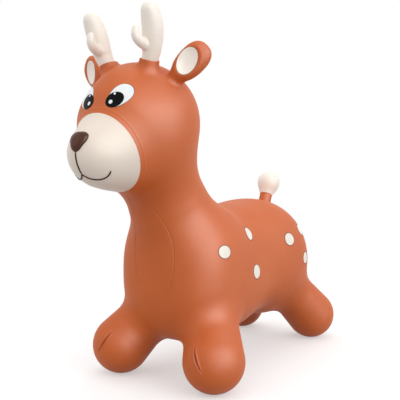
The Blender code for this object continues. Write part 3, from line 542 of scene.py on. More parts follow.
def contour(field, low, high, cell):
    """Quads on the field's zero surface: a point in each cell that it crosses.

    A cell's point starts at the middle of its crossed edges and then settles on the surface,
    and each crossed grid edge joins the points of the four cells around it.
    """
    low, high = np.array(low), np.array(high)
    counts = 2 * np.ceil((high - low) / cell / 2).astype(int) + 1
    start = (low + high - (counts - 1) * cell) / 2
    values = sampled(field, start, counts, cell)
    inside = values < 0
    corners = [np.array((i, j, k)) for i in (0, 1) for j in (0, 1) for k in (0, 1)]
    cells = counts - 1
    within = sum(
        inside[i : i + cells[0], j : j + cells[1], k : k + cells[2]].astype(int)
        for i, j, k in corners
    )
    crossed = (within > 0) & (within < 8)
    number = np.full(cells, -1)
    places = np.argwhere(crossed)
    number[crossed] = np.arange(len(places))
    total = np.zeros((len(places), 3))
    edges = np.zeros(len(places))
    quads = []
    for axis in range(3):
        along = np.eye(3, dtype=int)[axis]
        across = np.eye(3, dtype=int)[(axis + 1) % 3]
        over = np.eye(3, dtype=int)[(axis + 2) % 3]
        for corner in (each for each in corners if not each[axis]):
            near = values[tuple((places + corner).T)]
            far = values[tuple((places + corner + along).T)]
            hit = (near < 0) != (far < 0)
            share = np.where(hit, near / np.where(hit, near - far, 1), 0)
            total += np.where(hit[:, None], places + corner + share[:, None] * along, 0)
            edges += hit
        first = tuple(slice(0, -1) if i == axis else slice(None) for i in range(3))
        second = tuple(slice(1, None) if i == axis else slice(None) for i in range(3))
        for outward, found in (
            (1, inside[first] & ~inside[second]),
            (-1, ~inside[first] & inside[second]),
        ):
            ends = np.argwhere(found)
            ring = (across + over, over, 0 * over, across)
            quad = np.stack([number[tuple((ends - back).T)] for back in ring], axis=1)
            quads.append(quad[:, ::outward])
    points = start + cell * total / edges[:, None]
    return settle(field, points), np.concatenate(quads)


def corners_of(mesh):
    """The mesh's points, one in a row."""
    flat = np.empty(3 * len(mesh.vertices), np.float32)
    mesh.vertices.foreach_get("co", flat)
    return flat.reshape(-1, 3).astype(float)


def mesh_of(name, points, faces):
    """A mesh of these points and faces, shaded smooth."""
    mesh = bpy.data.meshes.new(name)
    mesh.from_pydata(points.tolist(), [], faces if isinstance(faces, list) else faces.tolist())
    mesh.shade_smooth()
    return mesh


def closed_grid(rows):
    """Points and faces of rings of equal length, closed by a pole at each end."""
    rows = np.asarray(rows)
    count, steps, _ = rows.shape
    points = np.concatenate([rows.reshape(-1, 3), [rows[0].mean(0)], [rows[-1].mean(0)]])
    here = np.arange(steps)
    after = (here + 1) % steps
    quads = [
        np.stack([row + here, row + after, row + steps + after, row + steps + here], axis=1)
        for row in steps * np.arange(count - 1)
    ]
    low, high = count * steps, count * steps + 1
    last = (count - 1) * steps
    start = np.stack([np.full(steps, low), after, here], axis=1)
    end = np.stack([np.full(steps, high), last + here, last + after], axis=1)
    return points, np.concatenate(quads).tolist() + start.tolist() + end.tolist()


def piece(
    name, points, faces, material, slot, replaced=(), field=None, shares=None, about="paint_share"
):
    """An object of this mesh, with normals from its field and a share on each point."""
    mesh = mesh_of(name, points, faces)
    if field is not None:
        mesh.normals_split_custom_set_from_vertices(unit(slopes(field, points)))
    if shares is not None:
        attribute = mesh.attributes.new(about, "FLOAT", "POINT")
        attribute.data.foreach_set("value", np.asarray(shares, np.float32).ravel())
    mesh.materials.append(material)
    obj = bpy.data.objects.new(name, mesh)
    bpy.context.scene.collection.objects.link(obj)
    if replaced:
        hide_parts(*replaced)
    return obj


class Level:
    """A number that varies over a surface. Sums and products of it add Math nodes."""

    def __init__(self, nodes, socket):
        self.nodes = nodes
        self.socket = socket

    def _maths(self, operation, *values):
        made = self.nodes.node("ShaderNodeMath", {"operation": operation}, *values)
        return Level(self.nodes, made.outputs[0])

    def __add__(self, other):
        return self._maths("ADD", self, other)

    def __mul__(self, other):
        return self._maths("MULTIPLY", self, other)

    def __sub__(self, other):
        return self._maths("SUBTRACT", self, other)

    def __rsub__(self, other):
        return self._maths("SUBTRACT", other, self)

    def step(self, low, high):
        """A soft step from zero to one between two values."""
        settings = {"interpolation_type": "SMOOTHSTEP"}
        made = self.nodes.node("ShaderNodeMapRange", settings, self, low, high, 0.0, 1.0)
        return Level(self.nodes, made.outputs[0])

    __radd__ = __add__
    __rmul__ = __mul__


class Nodes:
    """The nodes of a material or of the world."""

    def __init__(self, owner):
        owner.use_nodes = True
        self.tree = owner.node_tree

    def put(self, socket, value):
        """Sets a socket, or links what varies into it."""
        if isinstance(value, Level):
            self.tree.links.new(value.socket, socket)
        elif isinstance(value, bpy.types.NodeSocket):
            self.tree.links.new(value, socket)
        else:
            socket.default_value = value

    def node(self, kind, settings=None, *values, **named):
        """A node of this type: its settings first, then its sockets in order or by name."""
        made = self.tree.nodes.new(kind)
        for setting, value in (settings or {}).items():
            setattr(made, setting, value)
        for socket, value in zip(made.inputs, values):
            self.put(socket, value)
        for socket, value in named.items():
            self.put(made.inputs[socket], value)
        return made

    def place(self):
        """Where a point lies on the piece."""
        return self.node("ShaderNodeTexCoord").outputs["Object"]

    def background_share(self):
        """One for rays that show the background: from the camera, off gloss and through glass."""
        path = self.node("ShaderNodeLightPath")
        rays = [Level(self, path.outputs[f"Is {kind} Ray"]) for kind in SEEN_BY]
        return rays[0] + rays[1] + rays[2]

    def mixed_shaders(self, share, first, second):
        """One shader turning to another as the share goes to one."""
        return self.node("ShaderNodeMixShader", None, share, first.outputs[0], second.outputs[0])


class Finish(Nodes):
    """A material with a Principled shader and the nodes that vary it."""

    def __init__(self, name, **settings):
        self.material = bpy.data.materials.new(name)
        super().__init__(self.material)
        self.shade(**settings)

    def shade(self, **settings):
        """Sets the shader's sockets, or links what varies into them."""
        shader = self.tree.nodes["Principled BSDF"]
        for socket, value in settings.items():
            self.put(shader.inputs[socket.replace("_", " ")], value)

    def noise(self, scale, detail=2.0):
        """Cloudy noise with this many bumps in a metre."""
        made = self.node("ShaderNodeTexNoise", None, Vector=self.place(), Scale=scale, Detail=detail)
        return Level(self, made.outputs[0])

    def attribute(self, name):
        """A number that the mesh holds."""
        return Level(self, self.node("ShaderNodeAttribute", {"attribute_name": name}).outputs["Fac"])

    def mixed(self, share, first, second):
        """One colour turning to another as the share goes to one.

        A Mix node's sockets 0, 6 and 7 are its share and its colours, and output 2 is a colour.
        """
        made = self.node("ShaderNodeMix", {"data_type": "RGBA"})
        for rank, value in ((0, share), (6, first), (7, second)):
            self.put(made.inputs[rank], value)
        return made.outputs[2]

    def grained(self, height, depth):
        """Bumps the surface by this height."""
        bump = self.node("ShaderNodeBump", None, Strength=1.0, Distance=depth, Height=height)
        self.shade(Normal=bump.outputs[0])


def colour(red, green, blue):
    """A display colour of 0 to 255 as the linear values that a shader takes, by the sRGB curve."""
    shares = np.array((red, green, blue)) / 255
    linear = np.where(shares > 0.04045, ((shares + 0.055) / 1.055) ** 2.4, shares / 12.92)
    return (*linear, 1.0)


VINYL = colour(195, 93, 28)
VINYL_DEEP = colour(188, 86, 20)
VINYL_EDGE = colour(122, 54, 26)
# Painted shade: the darker vinyl laid into grooves and seams
VINYL_PAINTED_SHADE = colour(96, 40, 20)
CREAM = colour(229, 216, 203)
CREAM_DEEP = colour(225, 211, 197)
PALE = colour(242, 233, 223)
PALE_DEEP = colour(238, 228, 216)
WHITE = colour(236, 237, 235)
SPOT_WHITE = colour(234, 228, 218)
SPOT_SHADE = colour(231, 224, 213)
WHITE_SHADE = colour(220, 232, 238)
BLACK = colour(8, 9, 12)
BLACK_WORN = colour(13, 14, 18)
BROWN = colour(84, 45, 27)
BROWN_DEEP = colour(62, 32, 19)
BROWN_DARK = colour(54, 28, 17)
MILKY = colour(222, 220, 212)
MILKY_DEEP = colour(214, 212, 203)

# How many layers of ever finer bumps a cloud has
CLOUD_DETAIL = 3.0

# Vinyl: bumps in a metre of its clouds, flecks, dimples and grain, what clouds and flecks do to
# its tint and roughness, its coat's even part and what flecks add, and how light spreads in it
VINYL_CLOUD = 7.0
VINYL_CLOUD_EDGES = (0.35, 0.7)
VINYL_FLECK = 180.0
VINYL_DIMPLE = 60.0
VINYL_DIMPLE_SHARE = 0.5
VINYL_GRAIN = 900.0
VINYL_GRAIN_DEPTH = 0.00006
VINYL_TINT_SHARES = (0.8, 0.2)
VINYL_ROUGHENING = (0.05, 0.04)
VINYL_COAT = (0.06, 0.04)
VINYL_COAT_ROUGHNESS = 0.5
# How far the painted shade in grooves and seams darkens the vinyl
GROOVE_SHADE_SHARE = 0.6
GLOW_DEPTH = 0.006
GLOW_REACH = (1.0, 0.35, 0.18)

# Sprayed paint: bumps in a metre of its clouds and grain, how wide its thin rim is, what clouds
# and rim add to its roughness, and its coat in shares of its gloss: even, and what the rim lacks
PAINT_CLOUD = 60.0
PAINT_CLOUD_EDGES = (0.3, 0.75)
PAINT_GRAIN = 700.0
PAINT_GRAIN_DEPTH = 0.00003
PAINT_RIM_SHARE = 0.05
PAINT_ROUGHENING = (0.08, 0.1)
PAINT_COAT_SHARES = (0.3, 0.2)
PAINT_COAT_ROUGHNESS = 0.2


def vinyl(name, tint, deep, shade, roughness, gloss=0.22, soft=0.04):
    """Moulded soft vinyl: faint clouds, a satin skin, a very fine grain, and painted shade in its
    grooves.
    """
    finish = Finish(
        name,
        Subsurface_Weight=soft,
        Subsurface_Scale=GLOW_DEPTH,
        Subsurface_Radius=GLOW_REACH,
        Specular_IOR_Level=gloss,
        Coat_Roughness=VINYL_COAT_ROUGHNESS,
    )
    cloud = finish.noise(VINYL_CLOUD, CLOUD_DETAIL).step(*VINYL_CLOUD_EDGES)
    fleck = finish.noise(VINYL_FLECK)
    tint_cloud, tint_fleck = VINYL_TINT_SHARES
    rough_cloud, rough_fleck = VINYL_ROUGHENING
    coat, coat_fleck = VINYL_COAT
    body = finish.mixed(cloud * tint_cloud + fleck * tint_fleck, tint, deep)
    # Painted shade: grooves and seams turn toward the shade colour as deep as they are pressed in
    pressed = finish.attribute("groove_shade_share")
    finish.shade(
        Base_Color=finish.mixed(pressed * GROOVE_SHADE_SHARE, body, shade),
        Roughness=roughness + rough_cloud * cloud + rough_fleck * fleck,
        Coat_Weight=coat + coat_fleck * fleck,
    )
    dimples = VINYL_DIMPLE_SHARE * finish.noise(VINYL_DIMPLE)
    finish.grained(finish.noise(VINYL_GRAIN, CLOUD_DETAIL) + dimples, VINYL_GRAIN_DEPTH)
    return finish.material


def paint(name, tint, deep, edge, roughness, edge_from=0.92, gloss=0.30):
    """Thin sprayed paint: brushed thin toward its rim, where the darker vinyl shows through."""
    finish = Finish(name, Specular_IOR_Level=gloss, Coat_Roughness=PAINT_COAT_ROUGHNESS)
    cloud = finish.noise(PAINT_CLOUD, CLOUD_DETAIL).step(*PAINT_CLOUD_EDGES)
    rim_to = min(edge_from + PAINT_RIM_SHARE, 1.0)
    rim = finish.attribute("paint_share").step(edge_from, rim_to)
    rough_cloud, rough_rim = PAINT_ROUGHENING
    coat, coat_rim = (share * gloss for share in PAINT_COAT_SHARES)
    finish.shade(
        Base_Color=finish.mixed(rim, finish.mixed(cloud, tint, deep), edge),
        Roughness=roughness + rough_cloud * cloud + rough_rim * rim,
        Coat_Weight=coat - coat_rim * rim,
    )
    finish.grained(finish.noise(PAINT_GRAIN), PAINT_GRAIN_DEPTH)
    return finish.material


# Each vinyl's third colour is the painted shade laid into its grooves and seams
ORANGE_FINISH = vinyl(
    "orange_vinyl_skin", VINYL, VINYL_DEEP, VINYL_PAINTED_SHADE, roughness=0.52, gloss=0.38, soft=0.12
)
CREAM_FINISH = vinyl("cream_vinyl_skin", CREAM, CREAM_DEEP, CREAM_DEEP, roughness=0.42)
PALE_FINISH = vinyl("pale_vinyl", PALE, PALE_DEEP, PALE_DEEP, roughness=0.42)
SPOT_FINISH = paint(
    "white_spot_paint", SPOT_WHITE, SPOT_SHADE, VINYL_EDGE, roughness=0.42, edge_from=0.86, gloss=0.22
)
LINING_FINISH = paint(
    "cream_lining_paint", PALE, PALE_DEEP, VINYL_EDGE, roughness=0.45, edge_from=0.95
)
EYE_FINISH = paint("eye_white_paint", WHITE, WHITE_SHADE, VINYL_EDGE, roughness=0.30, edge_from=0.93)
PUPIL_FINISH = paint("pupil_paint", BLACK, BLACK_WORN, BLACK_WORN, roughness=0.28, gloss=0.05)
GLINT_FINISH = paint("glint_paint", WHITE, WHITE_SHADE, WHITE_SHADE, roughness=0.25)
NOSE_FINISH = paint("nose_paint", BROWN, BROWN_DEEP, BROWN_DEEP, roughness=0.26, gloss=0.18)
LINE_FINISH = paint(
    "mouth_line_paint", BROWN_DEEP, BROWN_DARK, BROWN_DARK, roughness=0.35, gloss=0.1
)
VALVE_FINISH = vinyl("milky_valve_plastic", MILKY, MILKY_DEEP, MILKY_DEEP, roughness=0.34)


def part_skin():
    """The skin meshed once, finer along its seams, and cut along the borders of its pieces.

    A face belongs to the muzzle or to the head where its middle lies past that border's plane.
    """
    reach = max(*CHEST_HALF, *HEAD_HALF, FRONT_FOOT_RADIUS) + SKIN_CELL * BLOCK
    balls = np.array([CHEST, RUMP, HEAD, MUZZLE, FRONT_LEG[1][:3], REAR_LEG[1][:3]])
    low, high = balls.min(0) - reach, balls.max(0) + reach
    low[0], low[2] = -high[0], -SKIN_CELL * BLOCK
    points, quads = contour(plain_skin, low, high, SKIN_CELL)
    shape = bmesh.new()
    shape.from_mesh(mesh_of("whole_skin", points, quads))
    centres = points[quads].mean(1)
    lined = np.abs(relief(centres, FINE_SPREAD)) > FINE_FROM_SHARE * RIM_HEIGHT
    shape.faces.ensure_lookup_table()
    fine = dict.fromkeys(edge for index in np.flatnonzero(lined) for edge in shape.faces[index].edges)
    bmesh.ops.subdivide_edges(shape, edges=list(fine), cuts=FINE_CUTS, use_grid_fill=True)
    for place, way in ((BORDER, BORDER_WAY), (NECK_LOW, NECK_WAY)):
        bmesh.ops.bisect_plane(
            shape,
            geom=[*shape.verts, *shape.edges, *shape.faces],
            dist=SAMPLE_STEP,
            plane_co=place,
            plane_no=way,
        )
    bmesh.ops.triangulate(shape, faces=[face for face in shape.faces if len(face.verts) > 4])
    cut = bpy.data.meshes.new("cut_skin")
    shape.to_mesh(cut)
    shape.free()
    points = settle(skin, corners_of(cut))
    points[:, 2] = np.maximum(points[:, 2], 0)
    corners = np.empty(len(cut.loops), np.int32)
    cut.loops.foreach_get("vertex_index", corners)
    starts = np.empty(len(cut.polygons), np.int32)
    cut.polygons.foreach_get("loop_start", starts)
    counts = np.diff(np.append(starts, len(corners)))
    centres = np.add.reduceat(points[corners], starts) / counts[:, None]
    above = (centres - NECK_LOW) @ NECK_WAY > 0
    near_muzzle = np.linalg.norm(centres - MUZZLE, axis=1) < 2 * MUZZLE_HALF[1]
    on_muzzle = above & near_muzzle & ((centres - BORDER) @ BORDER_WAY > 0)
    return points, np.split(corners, starts[1:]), {
        "muzzle_skin": on_muzzle,
        "head_skin": above & ~on_muzzle,
        "body_skin": ~above,
    }


def kept(points, faces, chosen):
    """The chosen faces with only the points that they use."""
    faces = [face for face, keep in zip(faces, chosen) if keep]
    used = np.unique(np.concatenate(faces))
    number = np.full(len(points), -1)
    number[used] = np.arange(len(used))
    return points[used], [number[face].tolist() for face in faces]


def skins():
    """The body with its legs, the head with its neck, and the muzzle."""
    points, faces, regions = part_skin()
    legs = [f"{end}_leg_{side}" for end in ("front", "rear") for side in SIDES]
    replaced = {
        "body_skin": ("torso", *legs),
        "head_skin": ("neck", "head"),
        "muzzle_skin": ("muzzle",),
    }
    made = {}
    for name, chosen in regions.items():
        cream = name == "muzzle_skin"
        corners, sides = kept(points, faces, chosen)
        made[name] = piece(
            name,
            corners,
            sides,
            CREAM_FINISH if cream else ORANGE_FINISH,
            "cream_vinyl" if cream else "orange_vinyl",
            replaced[name],
            skin,
            # How deep each point lies in a groove or seam, which sets the painted shade there
            np.clip(-relief(corners) / CREASE_DEPTH, 0, 1),
            "groove_shade_share",
        )
    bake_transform(made["body_skin"])
    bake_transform(made["head_skin"])
    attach(made["muzzle_skin"], "head")


def rooted(form, fillet):
    """A field of a form that grows out of the skin, with a round valley where they meet.

    It reaches no further over the skin than the valley does and no deeper than it is hidden,
    and its rim lies just under the skin.
    """

    def field(points):
        shape = form(points)
        ground = plain_skin(points)
        grown = np.maximum(swell(shape, ground + ROOT_SINK, fillet), shape - fillet)
        return np.maximum(grown, -ground - ROOT_DEPTH)

    return field


def both_sides(name, form, low, high, cell):
    """The left form's points and faces, and those of its mirror on the right."""

    def mirror_form(points):
        return form(points * MIRROR)

    points, faces = contour(form, low, high, cell)
    yield f"{name}_left", 1, points, faces, form
    yield f"{name}_right", -1, points * MIRROR, faces[:, ::-1], mirror_form


def joint(name):
    """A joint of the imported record."""
    return next(found for found in frame["record"]["behaviour"]["joints"] if found["name"] == name)


def left_pivot(name):
    """The place of a joint on the left or in the middle."""
    return np.array(joint(name)["pos_m"])


def antler_root():
    """The middle of the left antler's root, and the direction in which it leans."""
    root = left_pivot("antler_left_bend") + (COLLAR_OUT, 0, 0)
    return root, unit((math.tan(COLLAR_LEAN_OUT), -math.tan(COLLAR_LEAN_FORWARD), 1))


def collars():
    """Round collars that hold the antlers, flat on top, swelling out of the head."""
    root, axis = antler_root()
    top = root - COLLAR_TOP_UNDER * axis
    foot = top - COLLAR_DEPTH * axis

    def tube(points):
        side = limb(points, foot, COLLAR_FOOT_RADIUS, top + COLLAR_RADIUS * axis, COLLAR_RADIUS)
        return trim(side, (points - top) @ axis, COLLAR_EDGE)

    reach = COLLAR_DEPTH + COLLAR_FOOT_RADIUS
    form = rooted(tube, COLLAR_FILLET)
    for name, _, points, faces, field in both_sides(
        "antler_collar", form, root - reach, root + reach, FORM_CELL
    ):
        node = name.replace("collar", "base")
        made = piece(name, points, faces, ORANGE_FINISH, "orange_vinyl", (node,), field)
        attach(made, "head")


def antlers():
    """Soft horns with one tine each, curving above their collars."""
    root, axis = antler_root()
    beam = bent(BEAM_STATIONS, HORN_STEPS)
    tine = bent(TINE_STATIONS, HORN_STEPS)

    def form(points):
        here = points - root
        return swell(horn(here, beam, SUNK), horn(here, tine, SUNK), TINE_FILLET)

    stations = np.array(BEAM_STATIONS + TINE_STATIONS)
    widest = stations[:, 3].max() + FORM_CELL * BLOCK
    low, high = root + stations[:, :3].min(0) - widest, root + stations[:, :3].max(0) + widest
    for name, side, points, faces, field in both_sides("antler_horn", form, low, high, FORM_CELL):
        node = name.replace("_horn", "")
        made = piece(name, points, faces, PALE_FINISH, "cream_vinyl", (node,), field)
        start, end = (
            tuple((root + height * axis) * (side, 1, 1))
            for height in (ANTLER_BEND_FROM, ANTLER_BEND_TO)
        )
        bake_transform(made)
        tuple(start)
        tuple(end)


def ear_frame():
    """The left ear's directions in space, as rows: across its leaf, out of its front, along it."""
    level = np.array((math.cos(EAR_FACE_OUT), math.sin(EAR_FACE_OUT), 0))
    front = np.array((math.sin(EAR_FACE_OUT), -math.cos(EAR_FACE_OUT), 0))
    along = math.sin(EAR_TURN_OUT) * level + math.cos(EAR_TURN_OUT) * np.array((0, 0, 1))
    return np.array((np.cross(front, along), front, along))


def ear_form(points):
    """The left ear: a thick leaf on a round neck, with a shallow dish pressed into its front.

    The dish is an ellipsoid taken out of the leaf, turned in the leaf's plane.
    """
    here = (points - left_pivot("ear_left_bend")) @ ear_frame().T
    leaf = blob(here, EAR_LEAF_STEP, EAR_LEAF_HALF, EAR_LEAF_FULLNESS)
    root = (0, 0, -EAR_ROOT_DOWN)
    neck = limb(here, root, EAR_ROOT_RADIUS, np.array(EAR_NECK_STEP), EAR_NECK_RADIUS)
    turn, lean = math.cos(EAR_DISH_TURN), math.sin(EAR_DISH_TURN)
    upright = (here - EAR_DISH_STEP) @ np.array(((turn, 0, -lean), (0, 1, 0), (lean, 0, turn)))
    dish = blob(upright, (0, 0, 0), EAR_DISH_HALF)
    return trim(swell(leaf, neck, EAR_FILLET), -dish, EAR_DISH_EDGE)


def ears():
    """Both ears and the cream linings in their dishes."""
    root = left_pivot("ear_left_bend")
    across, front, along = ear_frame()
    tip = root + (EAR_LEAF_STEP[2] + EAR_LEAF_HALF[2]) * along
    reach = EAR_LEAF_HALF[0] + EAR_LEAF_STEP[1] + FORM_CELL * BLOCK
    low, high = np.minimum(root, tip) - reach, np.maximum(root, tip) + reach
    form = rooted(ear_form, EAR_ROOT_FILLET)
    middle = root + (np.array(EAR_DISH_STEP) - (0, EAR_DISH_HALF[1], 0)) @ ear_frame()
    outline = oval(EAR_LINING_HALF, EAR_DISH_TURN) @ np.array((across, along))
    lining = patch(ear_form, middle, front, outline, flat_paint())
    for name, side, points, faces, field in both_sides("ear_leaf", form, low, high, FORM_CELL):
        node = name.replace("_leaf", "")
        start, end = (tuple((root + height * along) * (side, 1, 1)) for height in EAR_BEND)
        leaf = piece(name, points, faces, ORANGE_FINISH, "orange_vinyl", (node,), field)
        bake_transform(leaf)
        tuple(start)
        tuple(end)
        points, faces, shares = lining if side > 0 else flipped(lining)
        under = name.replace("leaf", "lining")
        made = piece(
            f"{under}_paint", points, faces, LINING_FINISH, "cream_vinyl", (under,), shares=shares
        )
        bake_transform(made)
        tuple(start)
        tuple(end)


def tail():
    """The orange stub that grows out of the rump, and the cream bulb on it."""
    root = left_pivot("tail_wag")
    axis = np.array((0, math.sin(TAIL_LEAN), math.cos(TAIL_LEAN)))
    border = root + TAIL_PAINT_AT * axis
    foot = root - TAIL_ROOT_DOWN * axis
    ball = root + TAIL_BALL_AT * axis

    def whole(points):
        stub = limb(points, foot, TAIL_STUB_RADII[0], ball, TAIL_STUB_RADII[1])
        bulb = np.linalg.norm(points - ball, axis=-1) - TAIL_BALL_RADIUS
        return swell(stub, bulb, TAIL_BALL_FILLET)

    def stub(points):
        return trim(whole(points), (points - border) @ axis, SUNK)

    def bulb(points):
        return trim(whole(points) - SUNK / 2, (border - points) @ axis, SUNK)

    reach = TAIL_BALL_RADIUS + FORM_CELL * BLOCK
    low, high = root - reach, ball + reach
    for name, form, material, slot, node in (
        ("tail_root", rooted(stub, TAIL_ROOT_FILLET), ORANGE_FINISH, "orange_vinyl", "tail_stub"),
        ("tail_bulb", bulb, PALE_FINISH, "cream_vinyl", "tail_ball"),
    ):
        points, faces = contour(form, low, high, FORM_CELL)
        made = piece(name, points, faces, material, slot, (node,), form)
        start, end = (tuple(root + height * axis) for height in TAIL_BEND)
        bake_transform(made)
        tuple(start)
        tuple(end)


def tangents(normal):
    """Two unit vectors across a normal: one level, pointing left, and one up the slope."""
    level = unit(np.cross((0, 0, 1), normal))
    return np.array((level, np.cross(normal, level)))


def oval(half, tilt=0.0, egg_share=0.0, steps=ROUND):
    """Points around an oval, fuller at one end, turned by its tilt.

    Before the turn they are (a cos t, b sin t (1 + egg_share cos t)).
    """
    angles = 2 * np.pi * np.arange(steps) / steps
    points = np.stack([np.cos(angles), np.sin(angles) * (1 + egg_share * np.cos(angles))], axis=1)
    points = points * half
    turn = np.array(((math.cos(tilt), math.sin(tilt)), (-math.sin(tilt), math.cos(tilt))))
    return points @ turn


def flat_paint(rows=PAINT_ROWS, height=PAINT):
    """(share of the way to the rim, height) pairs of an even coat with a rounded edge."""
    even = [(share, height) for share in np.linspace(*PAINT_EVEN_SHARES, rows)]
    return even + [(share, lower * height) for share, lower in PAINT_EDGE_SHARES]


def patch(field, place, way, spread, profile):
    """Paint laid on a surface: points, faces and each point's share of the way to the rim.

    spread holds the rim's offsets from the middle in space, profile (share, height) pairs from
    the middle out. Each ring slides along one direction onto the surface and rises from it.
    """
    under = [(share, -SUNK) for share in UNDERSIDE_SHARES]
    shares, heights = np.array([*profile, *under]).T
    rings = seat(field, place + shares[:, None, None] * spread, np.asarray(way))
    normals = unit(slopes(field, rings.reshape(-1, 3))).reshape(rings.shape)
    rings = rings + heights[:, None, None] * normals
    points, faces = closed_grid(rings[::-1])
    rim_shares = np.repeat(np.where(heights[::-1] < 0, 1, shares[::-1]), len(spread))
    return points, faces, np.append(rim_shares, (1.0, 0.0))


def flipped(made):
    """A patch mirrored to the right side."""
    points, faces, shares = made
    return points * MIRROR, [face[::-1] for face in faces], shares


def way_out(place):
    """The skin's outward direction at a place."""
    return unit(slopes(plain_skin, place[None])[0])


def spots():
    """White spots on both flanks, as large as their nodes."""
    for number, ((behind, above), wide) in enumerate(zip(SPOT_PLACES, SPOT_WIDTH_SHARES), 1):
        place = seat(plain_skin, np.array([(CHEST_HALF[0], behind, above)]), np.array((1, 0, 0)))[0]
        way = way_out(place)
        corners = corners_of(frame["nodes"][f"spot_{number}_left"].data)
        radius = np.linalg.norm(corners - corners.mean(0), axis=1).max()
        made = patch(skin, place, way, oval((wide * radius, radius)) @ tangents(way), flat_paint())
        for side, (points, faces, shares) in zip(SIDES, (made, flipped(made))):
            node = f"spot_{number}_{side}"
            laid = piece(
                f"{node}_paint", points, faces, SPOT_FINISH, "white_paint", (node,), shares=shares
            )
            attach(laid, "torso")


def eyes():
    """The layers of both eyes, each as many coats high as its level says."""
    glint = ((GLINT_RADIUS,) * 2, 0, 0, GLINT_FINISH, "white_paint")
    small_glint = ((SMALL_GLINT_RADIUS,) * 2, 0, 0, GLINT_FINISH, "white_paint")
    layers = (
        ("eye_white", 1, EYE_PLACE, EYE_HALF, EYE_TILT, EYE_EGG_SHARE, EYE_FINISH, "white_paint"),
        ("pupil", 2, PUPIL_PLACE, PUPIL_HALF, PUPIL_TILT, 0, PUPIL_FINISH, "black_paint"),
        ("glint", 3, GLINT_PLACE, *glint),
        ("small_glint", 3, SMALL_GLINT_PLACE, *small_glint),
    )
    way = way_out(np.array(EYE_PLACE))
    for name, level, place, half, tilt, egg_share, material, slot in layers:
        spread = oval(half, tilt, egg_share) @ tangents(way)
        coat = flat_paint(EYE_PAINT_ROWS, level * PAINT)
        made = patch(skin, np.array(place), way, spread, coat)
        for side, (points, faces, shares) in zip(SIDES, (made, flipped(made))):
            node = f"{name}_{side}"
            laid = piece(f"{node}_paint", points, faces, material, slot, (node,), shares=shares)
            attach(laid, "head")


def nose():
    """A domed nose with three soft corners, one of them pointing down.

    Its rim lies at radius (1 + corner_share cos 3 (t + 90 degrees)), and at a share s of the way
    to it the dome is as high as the root of 1 - s^power.
    """
    way = np.array((0, -math.cos(NOSE_RISE), math.sin(NOSE_RISE)))
    place = seat(plain_skin, (MUZZLE + MUZZLE_HALF[1] * way)[None], way)[0]
    angles = 2 * np.pi * np.arange(ROUND) / ROUND
    radii = NOSE_RADIUS * (1 + NOSE_CORNER_SHARE * np.cos(3 * (angles + np.pi / 2)))
    outline = np.stack([np.cos(angles), np.sin(angles)], axis=1) * radii[:, None]
    shares = np.linspace(PAINT_EVEN_SHARES[0], 1.0, NOSE_ROWS)
    heights = NOSE_HEIGHT * np.sqrt(1 - shares**NOSE_DOME_POWER) + PAINT / 2
    dome = list(zip(shares, heights))
    points, faces, paint_shares = patch(skin, place, way, outline @ tangents(way), dome)
    made = piece(
        "nose_dome", points, faces, NOSE_FINISH, "brown_paint", ("nose",), shares=paint_shares
    )
    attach(made, "head")
    return place


def painted_line(name, node, places):
    """A fine raised line along (across, up) places on the muzzle's front.

    It is a round profile carried along the path, and toward both ends its radius goes down with
    the root of the rows that are left.
    """
    way = np.array((0, -1.0, 0))
    start = MUZZLE - (0, MUZZLE_HALF[1], 0)
    offsets = np.stack([places[:, 0], np.zeros(len(places)), places[:, 1]], axis=1)
    path = seat(plain_skin, start + offsets, way)
    normals = unit(slopes(plain_skin, path))
    runs = unit(np.gradient(path, axis=0))
    across = np.cross(runs, normals)
    ends = np.minimum(np.arange(len(path)), np.arange(len(path))[::-1])
    widths = LINE_RADIUS * np.sqrt(np.clip((ends + LINE_POINT_START) / LINE_POINT_ROWS, 0, 1))
    angles = 2 * np.pi * np.arange(LINE_SIDES) / LINE_SIDES
    section = (
        np.cos(angles)[None, :, None] * across[:, None]
        + np.sin(angles)[None, :, None] * normals[:, None]
    )
    rings = path[:, None] + LINE_RAISE * normals[:, None] + widths[:, None, None] * section
    points, faces = closed_grid(rings)
    even = np.zeros(len(points))
    made = piece(name, points, faces, LINE_FINISH, "brown_paint", (node,), shares=even)
    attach(made, "head")


def mouth(nose_place):
    """The smile, two arcs that meet in the middle, and the line from it up to the nose."""
    angles = np.linspace(*SMILE_ANGLES, SMILE_ROWS)
    right = SMILE_CENTRE + SMILE_RADIUS * np.stack([np.cos(angles), np.sin(angles)], axis=1)
    right[0, 0] = 0
    smile = np.concatenate([right[:0:-1] * (-1, 1), right])
    painted_line("smile_paint", "smile_line", smile)
    high = nose_place[2] - MUZZLE[2] - NOSE_RADIUS * (1 + NOSE_CORNER_SHARE) + LIP_TOP_DROP
    heights = np.linspace(right[0, 1], high, LIP_ROWS)
    painted_line("lip_paint", "lip_line", np.stack([0 * heights, heights], axis=1))


def turned(place, axis, profile, steps=ROUND):
    """Rings of (radius, height) points turned about an axis, closed at both ends."""
    level = unit(np.cross(axis, (1, 0, 0)))
    angles = 2 * np.pi * np.arange(steps) / steps
    ring = np.cos(angles)[:, None] * level + np.sin(angles)[:, None] * np.cross(axis, level)
    return closed_grid([place + radius * ring + height * axis for radius, height in profile])


def rounded(radius, low, high):
    """The outer half of a turned disc's profile, with a quarter-round top edge."""
    angles = np.linspace(0, np.pi / 2, VALVE_EDGE_STEPS)
    radii = radius - VALVE_EDGE * (1 - np.cos(angles))
    heights = high - VALVE_EDGE * (1 - np.sin(angles))
    return [(radius, low), *zip(radii, heights)]


